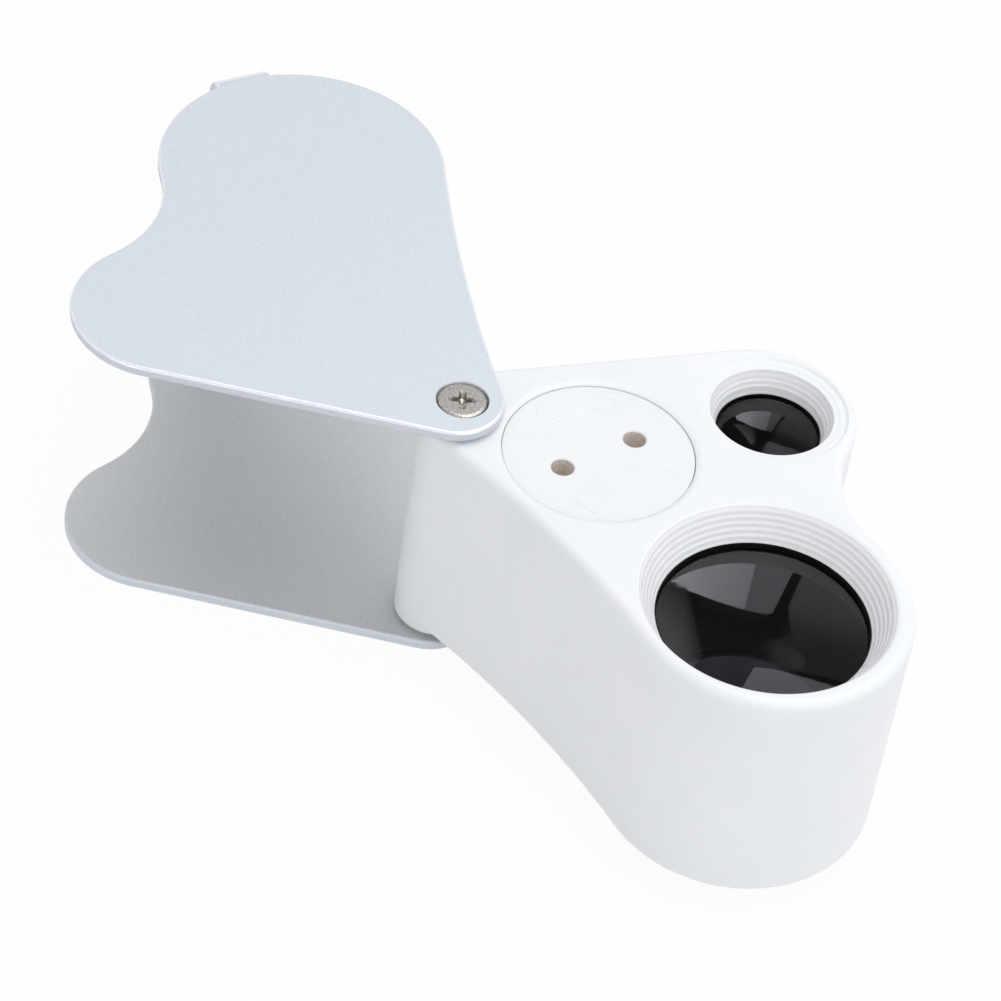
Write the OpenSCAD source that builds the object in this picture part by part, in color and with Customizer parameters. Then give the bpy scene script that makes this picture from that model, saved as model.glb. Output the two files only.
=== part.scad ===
// Folding pocket loupe with two lenses and lamps.
// A white body swings about a vertical pivot out of a folded metal case.
// Origin: pivot axis at the underside of the case. +Z is up. +X runs from
// the pivot to the large lens, with the body swung out of its case.

/* [Case] */
// Angle from the body's axis to the case's axis with the loupe swung open
case_angle = 153.6; // [120:0.1:165]
// Thickness of the case's sheet metal
sheet_t = 1.2; // [0.8:0.1:1.6]
// Height of the case over both plates
case_h = 30.4; // [29:0.2:34]
// How far the plates' large lobe stands out over the body's
case_overhang = 1.2; // [0.8:0.1:1.8]
// How far the plates' small lobe stands out over the body's
case_small_overhang = 0.1; // [0:0.1:0.6]
// Radius of the plates' pivot end
case_end_r = 5; // [4.6:0.1:5.6]
// Radius rolled on the plates' edges
case_edge_r = 0.35; // [0.1:0.05:0.5]
// Width of the strip that joins the two plates
web_w = 6.2; // [5:0.2:9]
// From the end of the large lobe to the outer face of that strip
web_reach = 1.7; // [1.2:0.1:3]
// Inner radius of the strip's two bends
bend_r = 0.9; // [0.5:0.1:2]

/* [Body] */
// Wall of the moulded body
wall = 1.5; // [1.3:0.05:1.6]
// Thickness of the body's top face
top_t = 1.6; // [1.2:0.1:2]
// Free space between the body's top and the upper plate
top_gap = 0.35; // [0.3:0.05:0.6]
// Free space between the body's underside and the lower plate
bottom_gap = 1.25; // [1.1:0.05:1.5]
// Length of the hinge barrel's foot below the body's underside
barrel_drop = 0.85; // [0.4:0.05:0.9]
// Free space between the large barrel and the wall
large_room = 0.6; // [0.5:0.05:1]
// Free space between the small barrel and the wall
small_room = 1.4; // [1.3:0.05:1.8]
// Radius of the body's pivot end
body_end_r = 5.6; // [5.4:0.1:5.8]
// Radius rolled round the body's top edge
top_edge_r = 0.85; // [0.4:0.05:0.85]
// Radius rolled round the body's bottom edge
bottom_edge_r = 0.9; // [0.4:0.1:1]
// Radius of the hinge barrel at its top
barrel_top_r = 3.95; // [3.7:0.05:4]
// Radius of the hinge barrel at its foot
barrel_foot_r = 4.3; // [4.1:0.05:4.5]
// Thickness of the base cover
base_t = 1.6; // [1.4:0.1:2]

/* [Pivot] */
// Radius of the fixed post that the body turns on
post_r = 2.1; // [1.9:0.05:2.2]
// Radial play of the body on the post
post_play = 0.05; // [0.02:0.01:0.1]
// Radius of the pivot screws' heads
pivot_head_r = 2.53; // [2.3:0.01:2.6]
// Radius of the pivot screws' threads
pivot_thread_r = 1.2; // [1:0.05:1.3]
// Length of the pivot screws under the plate
pivot_screw_len = 6; // [4:0.5:8]
// Radius of the washers beside the body
washer_r = 3.6; // [3:0.1:3.8]

/* [Large lens] */
// Radius of the eye lens
large_lens_r = 11; // [9:0.1:13]
// How far the lip at the funnel's foot covers the eye lens
large_lip = 0.75; // [0.5:0.05:1]
// How much wider the funnel is at the top face than at its foot
large_flare = 1.9; // [1.2:0.05:2]
// Depth of the funnel
large_funnel_depth = 3.3; // [2.8:0.1:3.8]
// Ribs down the funnel
large_ribs = 6; // [4:1:8]
// Radius of the objective lens
large_object_r = 9; // [7:0.1:9.4]
// Flat land between its funnel and the battery cap
large_land = 2.13; // [1.5:0.01:3]

/* [Small lens] */
// Radius of the eye lens
small_lens_r = 6; // [5:0.1:7]
// How far the lip at the funnel's foot covers the eye lens
small_lip = 0.78; // [0.6:0.01:0.9]
// How much wider the funnel is at the top face than at its foot
small_flare = 2.13; // [1.8:0.01:2.2]
// Width of the flat band inside the funnel's rim
small_band = 1.2; // [0.9:0.05:1.3]
// Depth of the funnel
small_funnel_depth = 2.85; // [2.4:0.05:3.4]
// Ribs down the funnel
small_ribs = 4; // [3:1:6]
// Radius of the objective lens
small_object_r = 4.5; // [3.5:0.1:4.8]
// Flat land between its funnel and the battery cap
small_land = 2.16; // [1.5:0.01:3]
// Direction from the battery cap to the small lens
small_angle = 61.6; // [58:0.1:66]

/* [Battery] */
// Place of the battery cap along the body
cap_x = 13.1; // [12.8:0.1:13.3]
// Place of the battery cap across the body
cap_y = 4.85; // [4.6:0.05:5.2]
// Radius of the cap's round seat in the top face
cap_seat_r = 9.42; // [9.2:0.01:9.6]
// Radial play of the cap in its seat
cap_play = 0.1; // [0.06:0.01:0.15]
// How far the cap lies below the top face
cap_sink = 0.15; // [0:0.05:0.3]
// Radius of the cap's two key holes
key_hole_r = 1.12; // [0.8:0.01:1.3]
// Distance between the key holes
key_hole_pitch = 8.45; // [7:0.05:9.5]
// Direction of the key holes from the body's axis
key_hole_angle = 70.7; // [0:0.1:180]
// Radius of a button cell
cell_r = 5.8; // [5.7:0.05:5.85]
// Height of a button cell
cell_h = 3.05; // [2.9:0.05:3.1]

/* [Lamp] */
// Radius of a lamp's bulb
lamp_r = 1.5; // [1.3:0.05:1.55]
// Thickness of the circuit board
board_t = 1; // [0.8:0.1:1.2]

/* [Hidden] */
$fn = 96;
eps = 0.01;

// Heights
plate_gap = case_h - 2 * sheet_t;
upper_plate_z = case_h - sheet_t;
body_z = sheet_t + bottom_gap;
body_top = upper_plate_z - top_gap;
body_h = body_top - body_z;
base_top = body_z + base_t;

// Directions in the plane
function dir(a) = [cos(a), sin(a)];
function angle_to(p, q) = atan2(q[1] - p[1], q[0] - p[0]);

// Lens openings, outwards from the lens
barrel_wall = 0.5;
large_eye_r = large_lens_r - large_lip;
small_eye_r = small_lens_r - small_lip;
large_funnel_r = large_eye_r + large_flare;
small_funnel_r = small_eye_r + small_flare;
large_barrel_r = large_lens_r + barrel_wall;
small_barrel_r = small_lens_r + barrel_wall;

// Places in the body: the cap lies between the pivot and the two lenses
cap_at = [cap_x, cap_y];
large_x = cap_x + sqrt(pow(cap_seat_r + large_land + large_funnel_r, 2) - cap_y * cap_y);
large_at = [large_x, 0];
small_at = cap_at + (cap_seat_r + small_land + small_funnel_r) * dir(small_angle);

// Outlines: each is [end middle, end r, large middle, large r, small middle,
// small r, radius of the hollow long side, radius of the notch]
case_waist_r = 196;
body_waist_r = 109;
notch_r = 12.5;
case_end_at = [0.5, 0.7];
body_end_at = [0.9, 1.3];
body_large_r = large_barrel_r + large_room + wall;
body_small_r = small_barrel_r + small_room + wall;
body_large_at = large_at + [0.4, 0.1];
body_small_at = small_at - [0.6, 0.8];
case_large_at = [body_large_at[0] + case_overhang, 0];
case_large_r = body_large_r + case_overhang;
case_small_r = body_small_r + case_small_overhang;
case_form = [case_end_at, case_end_r, case_large_at, case_large_r,
    small_at, case_small_r, case_waist_r, notch_r];
body_form = [body_end_at, body_end_r, body_large_at, body_large_r,
    body_small_at, body_small_r, body_waist_r, notch_r];

// Web
web_y = 0.3;
web_flare = 0.9;
web_root_len = 1.4;
web_overlap = 4;
web_x = case_large_at[0] + case_large_r + web_reach;
web_start_x = web_x - bend_r - sheet_t;

// Hinge barrel
barrel_edge = 0.4;
barrel_gap = 0.15;

// Small clearance between pieces that are pushed together
slip = 0.05;
// Clearance of the base cover in the body's skirt
cover_gap = 0.1;

// Lens seats: lip under each funnel, socket and wall of the barrels, ledges
lip_t = 0.6;
socket_depth = 3;
socket_wall = 1;
ledge_w = 0.7;
lens_land = 0.8;
throat_h = 3;
ring_t = 0.75;
ring_wall = 0.65;
large_eye_foot = body_top - large_funnel_depth - lip_t;
small_eye_foot = body_top - small_funnel_depth - lip_t;

// Lenses: thickness at the edge and height of the two curved faces
large_edge = 2;
small_edge = 1.6;
object_edge = 1.5;
large_eye_upper = 1.5;
large_eye_lower = 1;
large_object_upper = 1.2;
large_object_lower = 0.8;
small_eye_upper = 0.9;
small_eye_lower = 0.6;
small_object_upper = 0.7;
small_object_lower = 0.5;

// Cap and cells, downwards from the top face
flange_t = 1.25;
ledge_t = 1.2;
lug_t = 1;
ledge_r = cap_seat_r - 0.95;
hub_r = ledge_r - cap_play;
groove_r = cap_seat_r - 0.02;
lug_r = groove_r - cap_play;
lug_half_angle = 12;
lug_angle = 20;
cap_turn = 70;
key_hole_depth = 2.4;
seat_z = body_top - flange_t - slip;
ledge_z = seat_z - ledge_t;
cap_foot_z = ledge_z - slip - lug_t;
contact_t = 0.3;
cell_top_z = cap_foot_z - contact_t - slip;
groove_z = cap_foot_z - contact_t - 0.2;
cell_foot_z = cell_top_z - 3 * cell_h;
pocket_r = cell_r + 0.2;
pocket_floor_t = 0.8;
pocket_floor_z = cell_foot_z - 0.3;
pocket_wall = 1.2;
leaf_hole_r = 3.2;
side_contact_angle = 200;
side_contact_w = 2.8;
strip_t = 0.3;

// Board and lamps
board_top = pocket_floor_z - pocket_floor_t - slip;
board_z = board_top - board_t;
board_wall_gap = 0.4;
board_barrel_gap = 0.6;
board_boss_gap = 1.2;
board_reach = large_x - large_barrel_r - board_barrel_gap;
board_reach_small = norm(small_at) - small_barrel_r - board_barrel_gap;
lamp_land = 1.7;
lamp_reach = pocket_r + pocket_wall + lamp_land;
lamp_large_at = cap_at + lamp_reach * dir(-12);
lamp_small_at = cap_at + lamp_reach * dir(64.7);
lamp_bulb_len = 4.3;
lamp_tip_z = body_z + 0.5;
lamp_rim_z = lamp_tip_z + lamp_bulb_len;
lamp_rim_t = 1;
lamp_rim_r = lamp_r + 0.4;
lamp_play = 0.1;
lead_w = 0.45;
lead_pitch = 2.54;
lead_top = board_top + 0.5;

// Switch, in the plane turned towards the inside of the body
switch_angle = 20;
switch_z = board_z - 4.6;
switch_h = 3.5;
leaf_t = 0.2;
window_w = 6.4;
window_depth = 4;
switch_foot_x = 7;
cam_flat = 1.6;

// Fasteners
head_slope = 45;
head_rim = 0.15;
pivot_head_h = head_rim + (pivot_head_r - pivot_thread_r) * tan(head_slope);
pivot_recess_r = 1.35;
boss_r = 1.9;
base_screw_r = 0.9;
base_head_r = 1.75;
base_head_rim = 0.1;
base_head_h = base_head_rim + (base_head_r - base_screw_r) * tan(head_slope);
base_recess_r = 0.95;
base_screw_len = 7;
boss_overlap = 0.5;
boss_gap = 0.5;
boss_far_gap = 2.1;
boss_places = [
    cap_at + (pocket_r + pocket_wall + boss_r - boss_overlap) * dir(127.5),
    large_at + (large_barrel_r + boss_r + boss_gap) * dir(203.8),
    large_at + (large_barrel_r + boss_r + boss_far_gap) * dir(113.9)];

// Points round an arc, with or without its two ends
function arc(c, r, a0, a1, n) = [for (i = [0:n]) c + r * dir(a0 + (a1 - a0) * i / n)];
function inner_arc(c, r, a0, a1, n) =
    [for (i = [1:n - 1]) c + r * dir(a0 + (a1 - a0) * i / n)];

// Angle at p between the line to q and the line to the middle of a circle of
// radius r that touches the circles of radius rp about p and rq about q
function lean(p, rp, q, rq, r) =
    let(d = norm(q - p))
    acos((pow(r + rp, 2) + d * d - pow(r + rq, 2)) / (2 * (r + rp) * d));

// Points round a form, drawn in by an inset: end, hollow side, large lobe,
// notch and small lobe. The straight back side closes it.
function outline(form, inset) =
    let(e = form[0], re = form[1], b = form[2], rb = form[3],
        s = form[4], rs = form[5], w = form[6], n = form[7])
    let(back = angle_to(e, s) + acos((re - rs) / norm(s - e)))
    let(we = angle_to(e, b) - lean(e, re, b, rb, w))
    let(wm = e + (w + re) * dir(we), wb = angle_to(b, wm))
    let(nb = angle_to(b, s) - lean(b, rb, s, rs, n))
    let(nm = b + (n + rb) * dir(nb), ns = angle_to(s, nm))
    concat(
        arc(e, re - inset, back, we + 360, 14),
        inner_arc(wm, w + inset, we + 180, wb + 180, 8),
        arc(b, rb - inset, wb, nb, 36),
        inner_arc(nm, n + inset, nb + 180, ns + 180, 8),
        arc(s, rs - inset, ns, back, 22));

// Prism of a form whose rings follow levels of [inset, height]
module ringed(form, levels) {
    n = len(outline(form, 0));
    m = len(levels);
    points = [for (l = levels) for (p = outline(form, l[0])) [p[0], p[1], l[1]]];
    sides = [for (k = [0:m - 2]) for (i = [0:n - 1]) let(j = (i + 1) % n)
        [k * n + i, (k + 1) * n + i, (k + 1) * n + j, k * n + j]];
    foot = [[for (i = [0:n - 1]) i]];
    head = [[for (i = [0:n - 1]) m * n - 1 - i]];
    polyhedron(points, concat(foot, sides, head), convexity = 8);
}

// Levels of an edge rolled with radius r, outwards from a foot at height z
function roll_up(z, r, n) = [for (i = [0:n]) [r - r * sin(90 * i / n), z + r - r * cos(90 * i / n)]];

// Levels of an edge rolled inwards to height z. The last one lies above z, so
// that a flat cut at z makes the face there.
function roll_in(z, r, n) =
    let(p = [for (i = [0:n]) [r - r * cos(90 * i / n), z - r + r * sin(90 * i / n)]])
    [for (i = [0:n]) i < n ? p[i] : 2 * p[n] - p[n - 1]];

module form_prism(form, inset, z, h) {
    translate([0, 0, z])
        linear_extrude(height = h)
            polygon(outline(form, inset));
}

module at(p, z = 0) {
    translate([p[0], p[1], z])
        children();
}

module tube(r, bore, z, h) {
    translate([0, 0, z])
        difference() {
            cylinder(r = r, h = h);
            translate([0, 0, -1])
                cylinder(r = bore, h = h + 2);
        }
}

// Case
// Strip bent into the plates: a quarter ring at each end of an upright, with a
// straight lap inside each plate
module web() {
    outer = bend_r + sheet_t;
    middle_x = web_x - outer;
    lap_x = web_start_x - web_overlap;
    translate([0, web_y + web_w / 2, 0])
        rotate([90, 0, 0])
            linear_extrude(height = web_w)
                polygon(concat(
                    [[lap_x, sheet_t], [lap_x, 0]],
                    arc([middle_x, outer], outer, -90, 0, 12),
                    arc([middle_x, case_h - outer], outer, 0, 90, 12),
                    [[lap_x, case_h], [lap_x, upper_plate_z]],
                    arc([middle_x, case_h - outer], bend_r, 90, 0, 12),
                    arc([middle_x, outer], bend_r, 0, -90, 12)));
}

// Root of the strip, which widens into the plate's lobe
module web_root(z) {
    half = web_w / 2;
    root_x = web_start_x - web_root_len;
    lap_x = root_x - web_overlap;
    translate([0, web_y, z])
        linear_extrude(height = sheet_t)
            polygon([
                [lap_x, -half - web_flare], [root_x, -half - web_flare],
                [root_x + web_root_len / 2, -half - web_flare * 0.4], [web_start_x, -half],
                [web_start_x, half], [root_x + web_root_len / 2, half + web_flare * 0.4],
                [root_x, half + web_flare], [lap_x, half + web_flare]]);
}

module case_plate(z) {
    ringed(case_form, [
        [case_edge_r, z], [case_edge_r * 0.3, z + case_edge_r * 0.3], [0, z + case_edge_r],
        [0, z + sheet_t - case_edge_r],
        [case_edge_r * 0.3, z + sheet_t - case_edge_r * 0.3], [case_edge_r, z + sheet_t]]);
}

// Seat of a countersunk screw whose head lies level with z = 0
module screw_seat(head_r, head_h, rim, thread_r, depth) {
    translate([0, 0, -rim - slip])
        cylinder(r = head_r + slip, h = rim + slip + 1);
    translate([0, 0, -head_h - slip])
        cylinder(r1 = thread_r + slip, r2 = head_r + slip, h = head_h - rim);
    translate([0, 0, -depth])
        cylinder(r = thread_r + slip, h = depth);
}

module pivot_screw_seat(depth) {
    screw_seat(pivot_head_r, pivot_head_h, head_rim, pivot_thread_r, depth);
}

module at_both_ends() {
    translate([0, 0, case_h])
        children();
    mirror([0, 0, 1])
        children();
}

module case_sheet() {
    color([0.86, 0.88, 0.91])
        rotate([0, 0, case_angle])
            difference() {
                union() {
                    difference() {
                        union() {
                            case_plate(0);
                            case_plate(upper_plate_z);
                        }
                        translate([web_start_x, web_y - web_w / 2, -1])
                            cube([web_x, web_w, case_h + 2]);
                    }
                    web_root(0);
                    web_root(upper_plate_z);
                    web();
                }
                at_both_ends()
                    pivot_screw_seat(sheet_t + 1);
            }
}

// Pivot
module pivot_post() {
    color([0.75, 0.75, 0.76])
        difference() {
            translate([0, 0, sheet_t])
                cylinder(r = post_r, h = plate_gap);
            at_both_ends()
                pivot_screw_seat(sheet_t + pivot_screw_len + 1);
            rotate([0, 0, switch_angle + case_angle])
                translate([cam_flat, -post_r, switch_z - 0.5])
                    cube([post_r, 2 * post_r, switch_h + 1]);
        }
}

// Cross-shaped driver recess, opening upwards at z = 0
module cross_recess(reach, width, depth) {
    for (turn = [0, 90])
        rotate([0, 0, turn])
            translate([-reach, -width / 2, -depth])
                cube([2 * reach, width, depth + 1]);
    translate([0, 0, -depth - width / 2])
        cylinder(r1 = width * 0.3, r2 = width, h = depth + width / 2 + eps);
}

module countersunk_screw(head_r, head_h, rim, thread_r, length, recess) {
    difference() {
        union() {
            translate([0, 0, -rim])
                cylinder(r = head_r, h = rim);
            translate([0, 0, -head_h])
                cylinder(r1 = thread_r, r2 = head_r, h = head_h - rim);
            translate([0, 0, -length])
                cylinder(r = thread_r, h = length - head_h + eps);
        }
        rotate([0, 0, 20])
            cross_recess(recess, recess * 0.42, head_h * 0.55);
    }
}

module pivot_screws() {
    color([0.72, 0.7, 0.67])
        at_both_ends()
            countersunk_screw(pivot_head_r, pivot_head_h, head_rim, pivot_thread_r,
                sheet_t + pivot_screw_len, pivot_recess_r);
}

module washer(z, t) {
    color([0.9, 0.9, 0.88])
        tube(washer_r, post_r + post_play, z, t);
}

module washer_top() {
    washer(upper_plate_z - top_gap + slip, top_gap - slip);
}

module washer_bottom() {
    washer(sheet_t, bottom_gap - barrel_drop - slip);
}

// Ribbed funnel, cut downwards from z = 0 and open through the lip below it
module funnel_cut(rim_r, band, eye_r, depth, ribs) {
    start_r = rim_r - band;
    start_z = band > 0 ? -0.35 : 0;
    run = (start_r - eye_r) / ribs;
    fall = (depth + start_z) / ribs;
    steps = [for (k = [0:ribs - 1]) each [
        [start_r - k * run, start_z - k * fall],
        [start_r - (k + 0.15) * run, start_z - (k + 0.75) * fall]]];
    rim = band > 0 ? [[rim_r, 1], [rim_r, start_z]] : [[rim_r, 1]];
    rotate_extrude()
        polygon(concat([[0, 1]], rim, steps,
            [[eye_r, -depth], [eye_r, -depth - lip_t - 1], [0, -depth - lip_t - 1]]));
}

module eye_socket(depth, barrel_r) {
    foot = body_top - depth - lip_t - socket_depth;
    translate([0, 0, foot])
        cylinder(r = barrel_r + slip + socket_wall, h = body_top - foot - top_edge_r);
}

module socket_bore(depth, barrel_r) {
    foot = body_top - depth - lip_t - socket_depth;
    translate([0, 0, foot - 1])
        cylinder(r = barrel_r + slip, h = socket_depth + 1);
}

// Solid pieces left standing inside the shell
module inner_solids() {
    hinge_barrel();
    at(cap_at) {
        translate([0, 0, groove_z - 1])
            cylinder(r = groove_r + pocket_wall, h = body_top - groove_z);
        translate([0, 0, pocket_floor_z - pocket_floor_t])
            cylinder(r = pocket_r + pocket_wall, h = groove_z - pocket_floor_z + pocket_floor_t);
    }
    at(large_at)
        eye_socket(large_funnel_depth, large_barrel_r);
    at(small_at)
        eye_socket(small_funnel_depth, small_barrel_r);
    for (p = boss_places)
        at(p, base_top + slip)
            cylinder(r = boss_r, h = body_h);
}

// Wedge that covers half_angle to both sides of two opposite directions
module opposite_wedges(half_angle, z, h) {
    reach = 1.5 * cap_seat_r;
    for (turn = [0, 180])
        rotate([0, 0, turn])
            translate([0, 0, z])
                linear_extrude(height = h)
                    polygon([[0, 0], reach * dir(-half_angle), reach * dir(half_angle)]);
}

module cap_seat_cuts() {
    translate([0, 0, seat_z])
        cylinder(r = cap_seat_r, h = body_top - seat_z + 1);
    translate([0, 0, groove_z])
        cylinder(r = ledge_r, h = seat_z - groove_z + 1);
    translate([0, 0, groove_z])
        cylinder(r = groove_r, h = ledge_z - groove_z);
    rotate([0, 0, lug_angle + cap_turn])
        intersection() {
            translate([0, 0, ledge_z - 0.1])
                cylinder(r = groove_r, h = ledge_t + 0.2);
            opposite_wedges(lug_half_angle + 3, ledge_z - 0.2, ledge_t + 0.4);
        }
    translate([0, 0, pocket_floor_z])
        cylinder(r = pocket_r, h = groove_z - pocket_floor_z + 1);
    translate([0, 0, pocket_floor_z - 2])
        cylinder(r = leaf_hole_r, h = 3);
    rotate([0, 0, side_contact_angle])
        translate([pocket_r - 1, -side_contact_w / 2 - strip_t, pocket_floor_z - 2])
            cube([1.25 + strip_t, side_contact_w + 2 * strip_t, groove_z - pocket_floor_z + 3]);
}

module hinge_barrel() {
    foot = body_z - barrel_drop;
    translate([0, 0, foot])
        cylinder(r1 = barrel_foot_r - barrel_edge, r2 = barrel_foot_r, h = barrel_edge);
    translate([0, 0, foot + barrel_edge])
        cylinder(r1 = barrel_foot_r, r2 = barrel_top_r, h = body_top - foot - barrel_edge);
}

module body_shell() {
    color([0.95, 0.95, 0.96])
        difference() {
            union() {
                ringed(body_form, concat(roll_up(body_z, bottom_edge_r, 3),
                    roll_in(body_top, top_edge_r, 4)));
                hinge_barrel();
            }
            translate([-body_h, -body_h, body_top])
                cube([4 * body_h, 3 * body_h, top_edge_r]);
            difference() {
                form_prism(body_form, wall, body_z - 1, body_h - top_t + 1);
                inner_solids();
            }
            cylinder(r = post_r + post_play, h = case_h);
            rotate([0, 0, switch_angle])
                translate([cam_flat, -window_w / 2, switch_z - 0.5])
                    cube([window_depth, window_w, switch_h + 2]);
            at(cap_at)
                cap_seat_cuts();
            at(large_at) {
                translate([0, 0, body_top])
                    funnel_cut(large_funnel_r, 0, large_eye_r, large_funnel_depth, large_ribs);
                socket_bore(large_funnel_depth, large_barrel_r);
            }
            at(small_at) {
                translate([0, 0, body_top])
                    funnel_cut(small_funnel_r, small_band, small_eye_r,
                        small_funnel_depth, small_ribs);
                socket_bore(small_funnel_depth, small_barrel_r);
            }
            for (p = boss_places)
                at(p, base_top - 1)
                    cylinder(r = base_screw_r + slip, h = base_screw_len + 1);
        }
}

// Base
module base_cover() {
    flare = 1;
    color([0.93, 0.93, 0.94])
        difference() {
            union() {
                form_prism(body_form, wall + cover_gap, body_z, base_t);
                for (p = [lamp_large_at, lamp_small_at])
                    at(p, base_top - eps)
                        cylinder(r = lamp_r + lamp_play + 0.8, h = lamp_rim_z - base_top - slip);
            }
            translate([0, 0, body_z - 1])
                cylinder(r = barrel_foot_r + barrel_gap, h = base_t + 2);
            at(large_at, body_z - eps)
                object_window(large_object_r - ledge_w, flare);
            at(small_at, body_z - eps)
                object_window(small_object_r - ledge_w, flare);
            for (p = [lamp_large_at, lamp_small_at])
                at(p, body_z - 1) {
                    cylinder(r = lamp_r + lamp_play, h = lamp_rim_z);
                    cylinder(r1 = lamp_r + 1.8, r2 = lamp_r + lamp_play, h = 1.8);
                }
            for (p = boss_places)
                at(p, body_z + slip)
                    mirror([0, 0, 1])
                        screw_seat(base_head_r, base_head_h, base_head_rim, base_screw_r,
                            base_t + 1);
        }
}

module object_window(r, flare) {
    cylinder(r = r, h = base_t + 1);
    cylinder(r1 = r + flare, r2 = r, h = flare);
}

module base_screws() {
    color([0.7, 0.7, 0.7])
        for (p = boss_places)
            at(p, body_z + slip)
                mirror([0, 0, 1])
                    countersunk_screw(base_head_r, base_head_h, base_head_rim, base_screw_r,
                        base_screw_len, base_recess_r);
}

// Battery cap and cells
module battery_cap() {
    color([0.95, 0.95, 0.96])
        at(cap_at)
            difference() {
                union() {
                    translate([0, 0, body_top - flange_t])
                        cylinder(r = cap_seat_r - cap_play, h = flange_t - cap_sink);
                    translate([0, 0, cap_foot_z])
                        cylinder(r = hub_r, h = body_top - cap_foot_z - flange_t / 2);
                    rotate([0, 0, lug_angle])
                        intersection() {
                            translate([0, 0, cap_foot_z])
                                cylinder(r = lug_r, h = lug_t);
                            opposite_wedges(lug_half_angle, cap_foot_z - 0.2, lug_t + 0.4);
                        }
                }
                for (turn = [0, 180])
                    rotate([0, 0, key_hole_angle + turn])
                        translate([key_hole_pitch / 2, 0, body_top - key_hole_depth])
                            cylinder(r = key_hole_r, h = key_hole_depth + 1);
            }
}

module cap_contact() {
    color([0.8, 0.72, 0.5])
        at(cap_at, cap_foot_z - contact_t)
            cylinder(r = hub_r - 0.5, h = contact_t);
}

// Button cell: can below, insulating ring, smaller lid above
module cell(place) {
    z = cell_top_z - (place + 1) * cell_h;
    color([0.8, 0.8, 0.82])
        at(cap_at, z + cell_h / 2)
            mirror([0, 0, 1])
                rotate_extrude()
                    polygon([
                        [0, -cell_h / 2], [cell_r - 0.3, -cell_h / 2], [cell_r, 0.3 - cell_h / 2],
                        [cell_r, cell_h / 2 - 0.75], [cell_r - 0.25, cell_h / 2 - 0.5],
                        [cell_r - 0.8, cell_h / 2 - 0.5], [cell_r - 1.1, cell_h / 2],
                        [0, cell_h / 2]]);
}

module battery_cell_top() {
    cell(0);
}

module battery_cell_middle() {
    cell(1);
}

module battery_cell_bottom() {
    cell(2);
}

module battery_leaf() {
    rise = cell_foot_z - board_top - slip;
    color([0.8, 0.68, 0.4])
        at(cap_at, board_top)
            rotate([90, 0, 0])
                translate([0, 0, -1.2])
                    linear_extrude(height = 2.4)
                        polygon([
                            [-2.5, 0], [2.5, 0], [2.5, leaf_t], [-1.6, leaf_t],
                            [1, rise - leaf_t], [1.8, rise - 2 * leaf_t],
                            [1.9, rise - leaf_t], [1, rise], [-2.5, leaf_t * 1.6]]);
}

module side_contact() {
    color([0.8, 0.68, 0.4])
        at(cap_at, board_top)
            rotate([0, 0, side_contact_angle])
                translate([pocket_r + 0.15, -side_contact_w / 2, 0])
                    cube([strip_t, side_contact_w, cap_foot_z - contact_t - slip - board_top]);
}

// Circuit board with its lamps
module board_outline() {
    difference() {
        intersection() {
            polygon(outline(body_form, wall + board_wall_gap));
            translate([-body_h, -body_h])
                square([body_h + board_reach, 2 * body_h]);
            rotate(angle_to([0, 0], small_at))
                translate([-body_h, -body_h])
                    square([body_h + board_reach_small, 2 * body_h]);
        }
        circle(r = barrel_foot_r + 0.9);
        translate(boss_places[1] - [boss_r + board_boss_gap, body_h - boss_r - board_boss_gap])
            square(body_h);
        for (p = boss_places)
            translate(p)
                circle(r = boss_r + board_boss_gap);
    }
}

module circuit_board() {
    color([0.1, 0.4, 0.22])
        difference() {
            translate([0, 0, board_z])
                linear_extrude(height = board_t)
                    board_outline();
            for (p = [lamp_large_at, lamp_small_at])
                at(p, board_z - 1)
                    for (side = [-1, 1])
                        translate([side * lead_pitch / 2, 0, 0])
                            cylinder(r = lead_w * 0.85, h = board_t + 2);
        }
}

module lamp(p) {
    dome_z = lamp_tip_z + lamp_r;
    arc_points = arc([0, dome_z], lamp_r, -90, 0, 10);
    color([0.92, 0.92, 0.85])
        at(p) {
            rotate_extrude()
                polygon(concat(arc_points, [
                    [lamp_r, lamp_rim_z], [lamp_rim_r, lamp_rim_z],
                    [lamp_rim_r, lamp_rim_z + lamp_rim_t], [0, lamp_rim_z + lamp_rim_t]]));
            for (side = [-1, 1])
                translate([side * lead_pitch / 2 - lead_w / 2, -lead_w / 2,
                    lamp_rim_z + lamp_rim_t / 2])
                    cube([lead_w, lead_w, lead_top - lamp_rim_z - lamp_rim_t / 2]);
        }
}

module lamp_large() {
    lamp(lamp_large_at);
}

module lamp_small() {
    lamp(lamp_small_at);
}

// Switch: the round post presses the leaf on the fixed contact. The post's flat
// lets the leaf spring clear when the body is folded into the case.
module switch_strip(x, y0, y1, side) {
    translate([x, y0, switch_z])
        cube([leaf_t, y1 - y0, switch_h]);
    translate([x, side > 0 ? y1 - leaf_t : y0, switch_z])
        cube([switch_foot_x - x, leaf_t, board_z - switch_z]);
}

module switch_leaf() {
    color([0.8, 0.68, 0.4])
        rotate([0, 0, switch_angle])
            switch_strip(post_r + slip, -2.8, 2.2, -1);
}

module switch_contact() {
    color([0.8, 0.68, 0.4])
        rotate([0, 0, switch_angle])
            switch_strip(post_r + leaf_t + 2 * slip, -1, 2.8, 1);
}

// Optics
module barrel(eye_foot, barrel_r, lens_r, lens_edge, object_r) {
    top = eye_foot - slip;
    seat = top - lens_edge;
    foot = base_top + slip;
    color([0.08, 0.08, 0.09])
        rotate_extrude()
            polygon([
                [barrel_r, foot], [barrel_r, top], [lens_r + slip, top], [lens_r + slip, seat],
                [lens_r - ledge_w, seat], [lens_r - 2 * ledge_w, foot + object_edge + throat_h],
                [object_r - ledge_w, foot + object_edge], [object_r + slip, foot + object_edge],
                [object_r + slip, foot]]);
}

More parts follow.
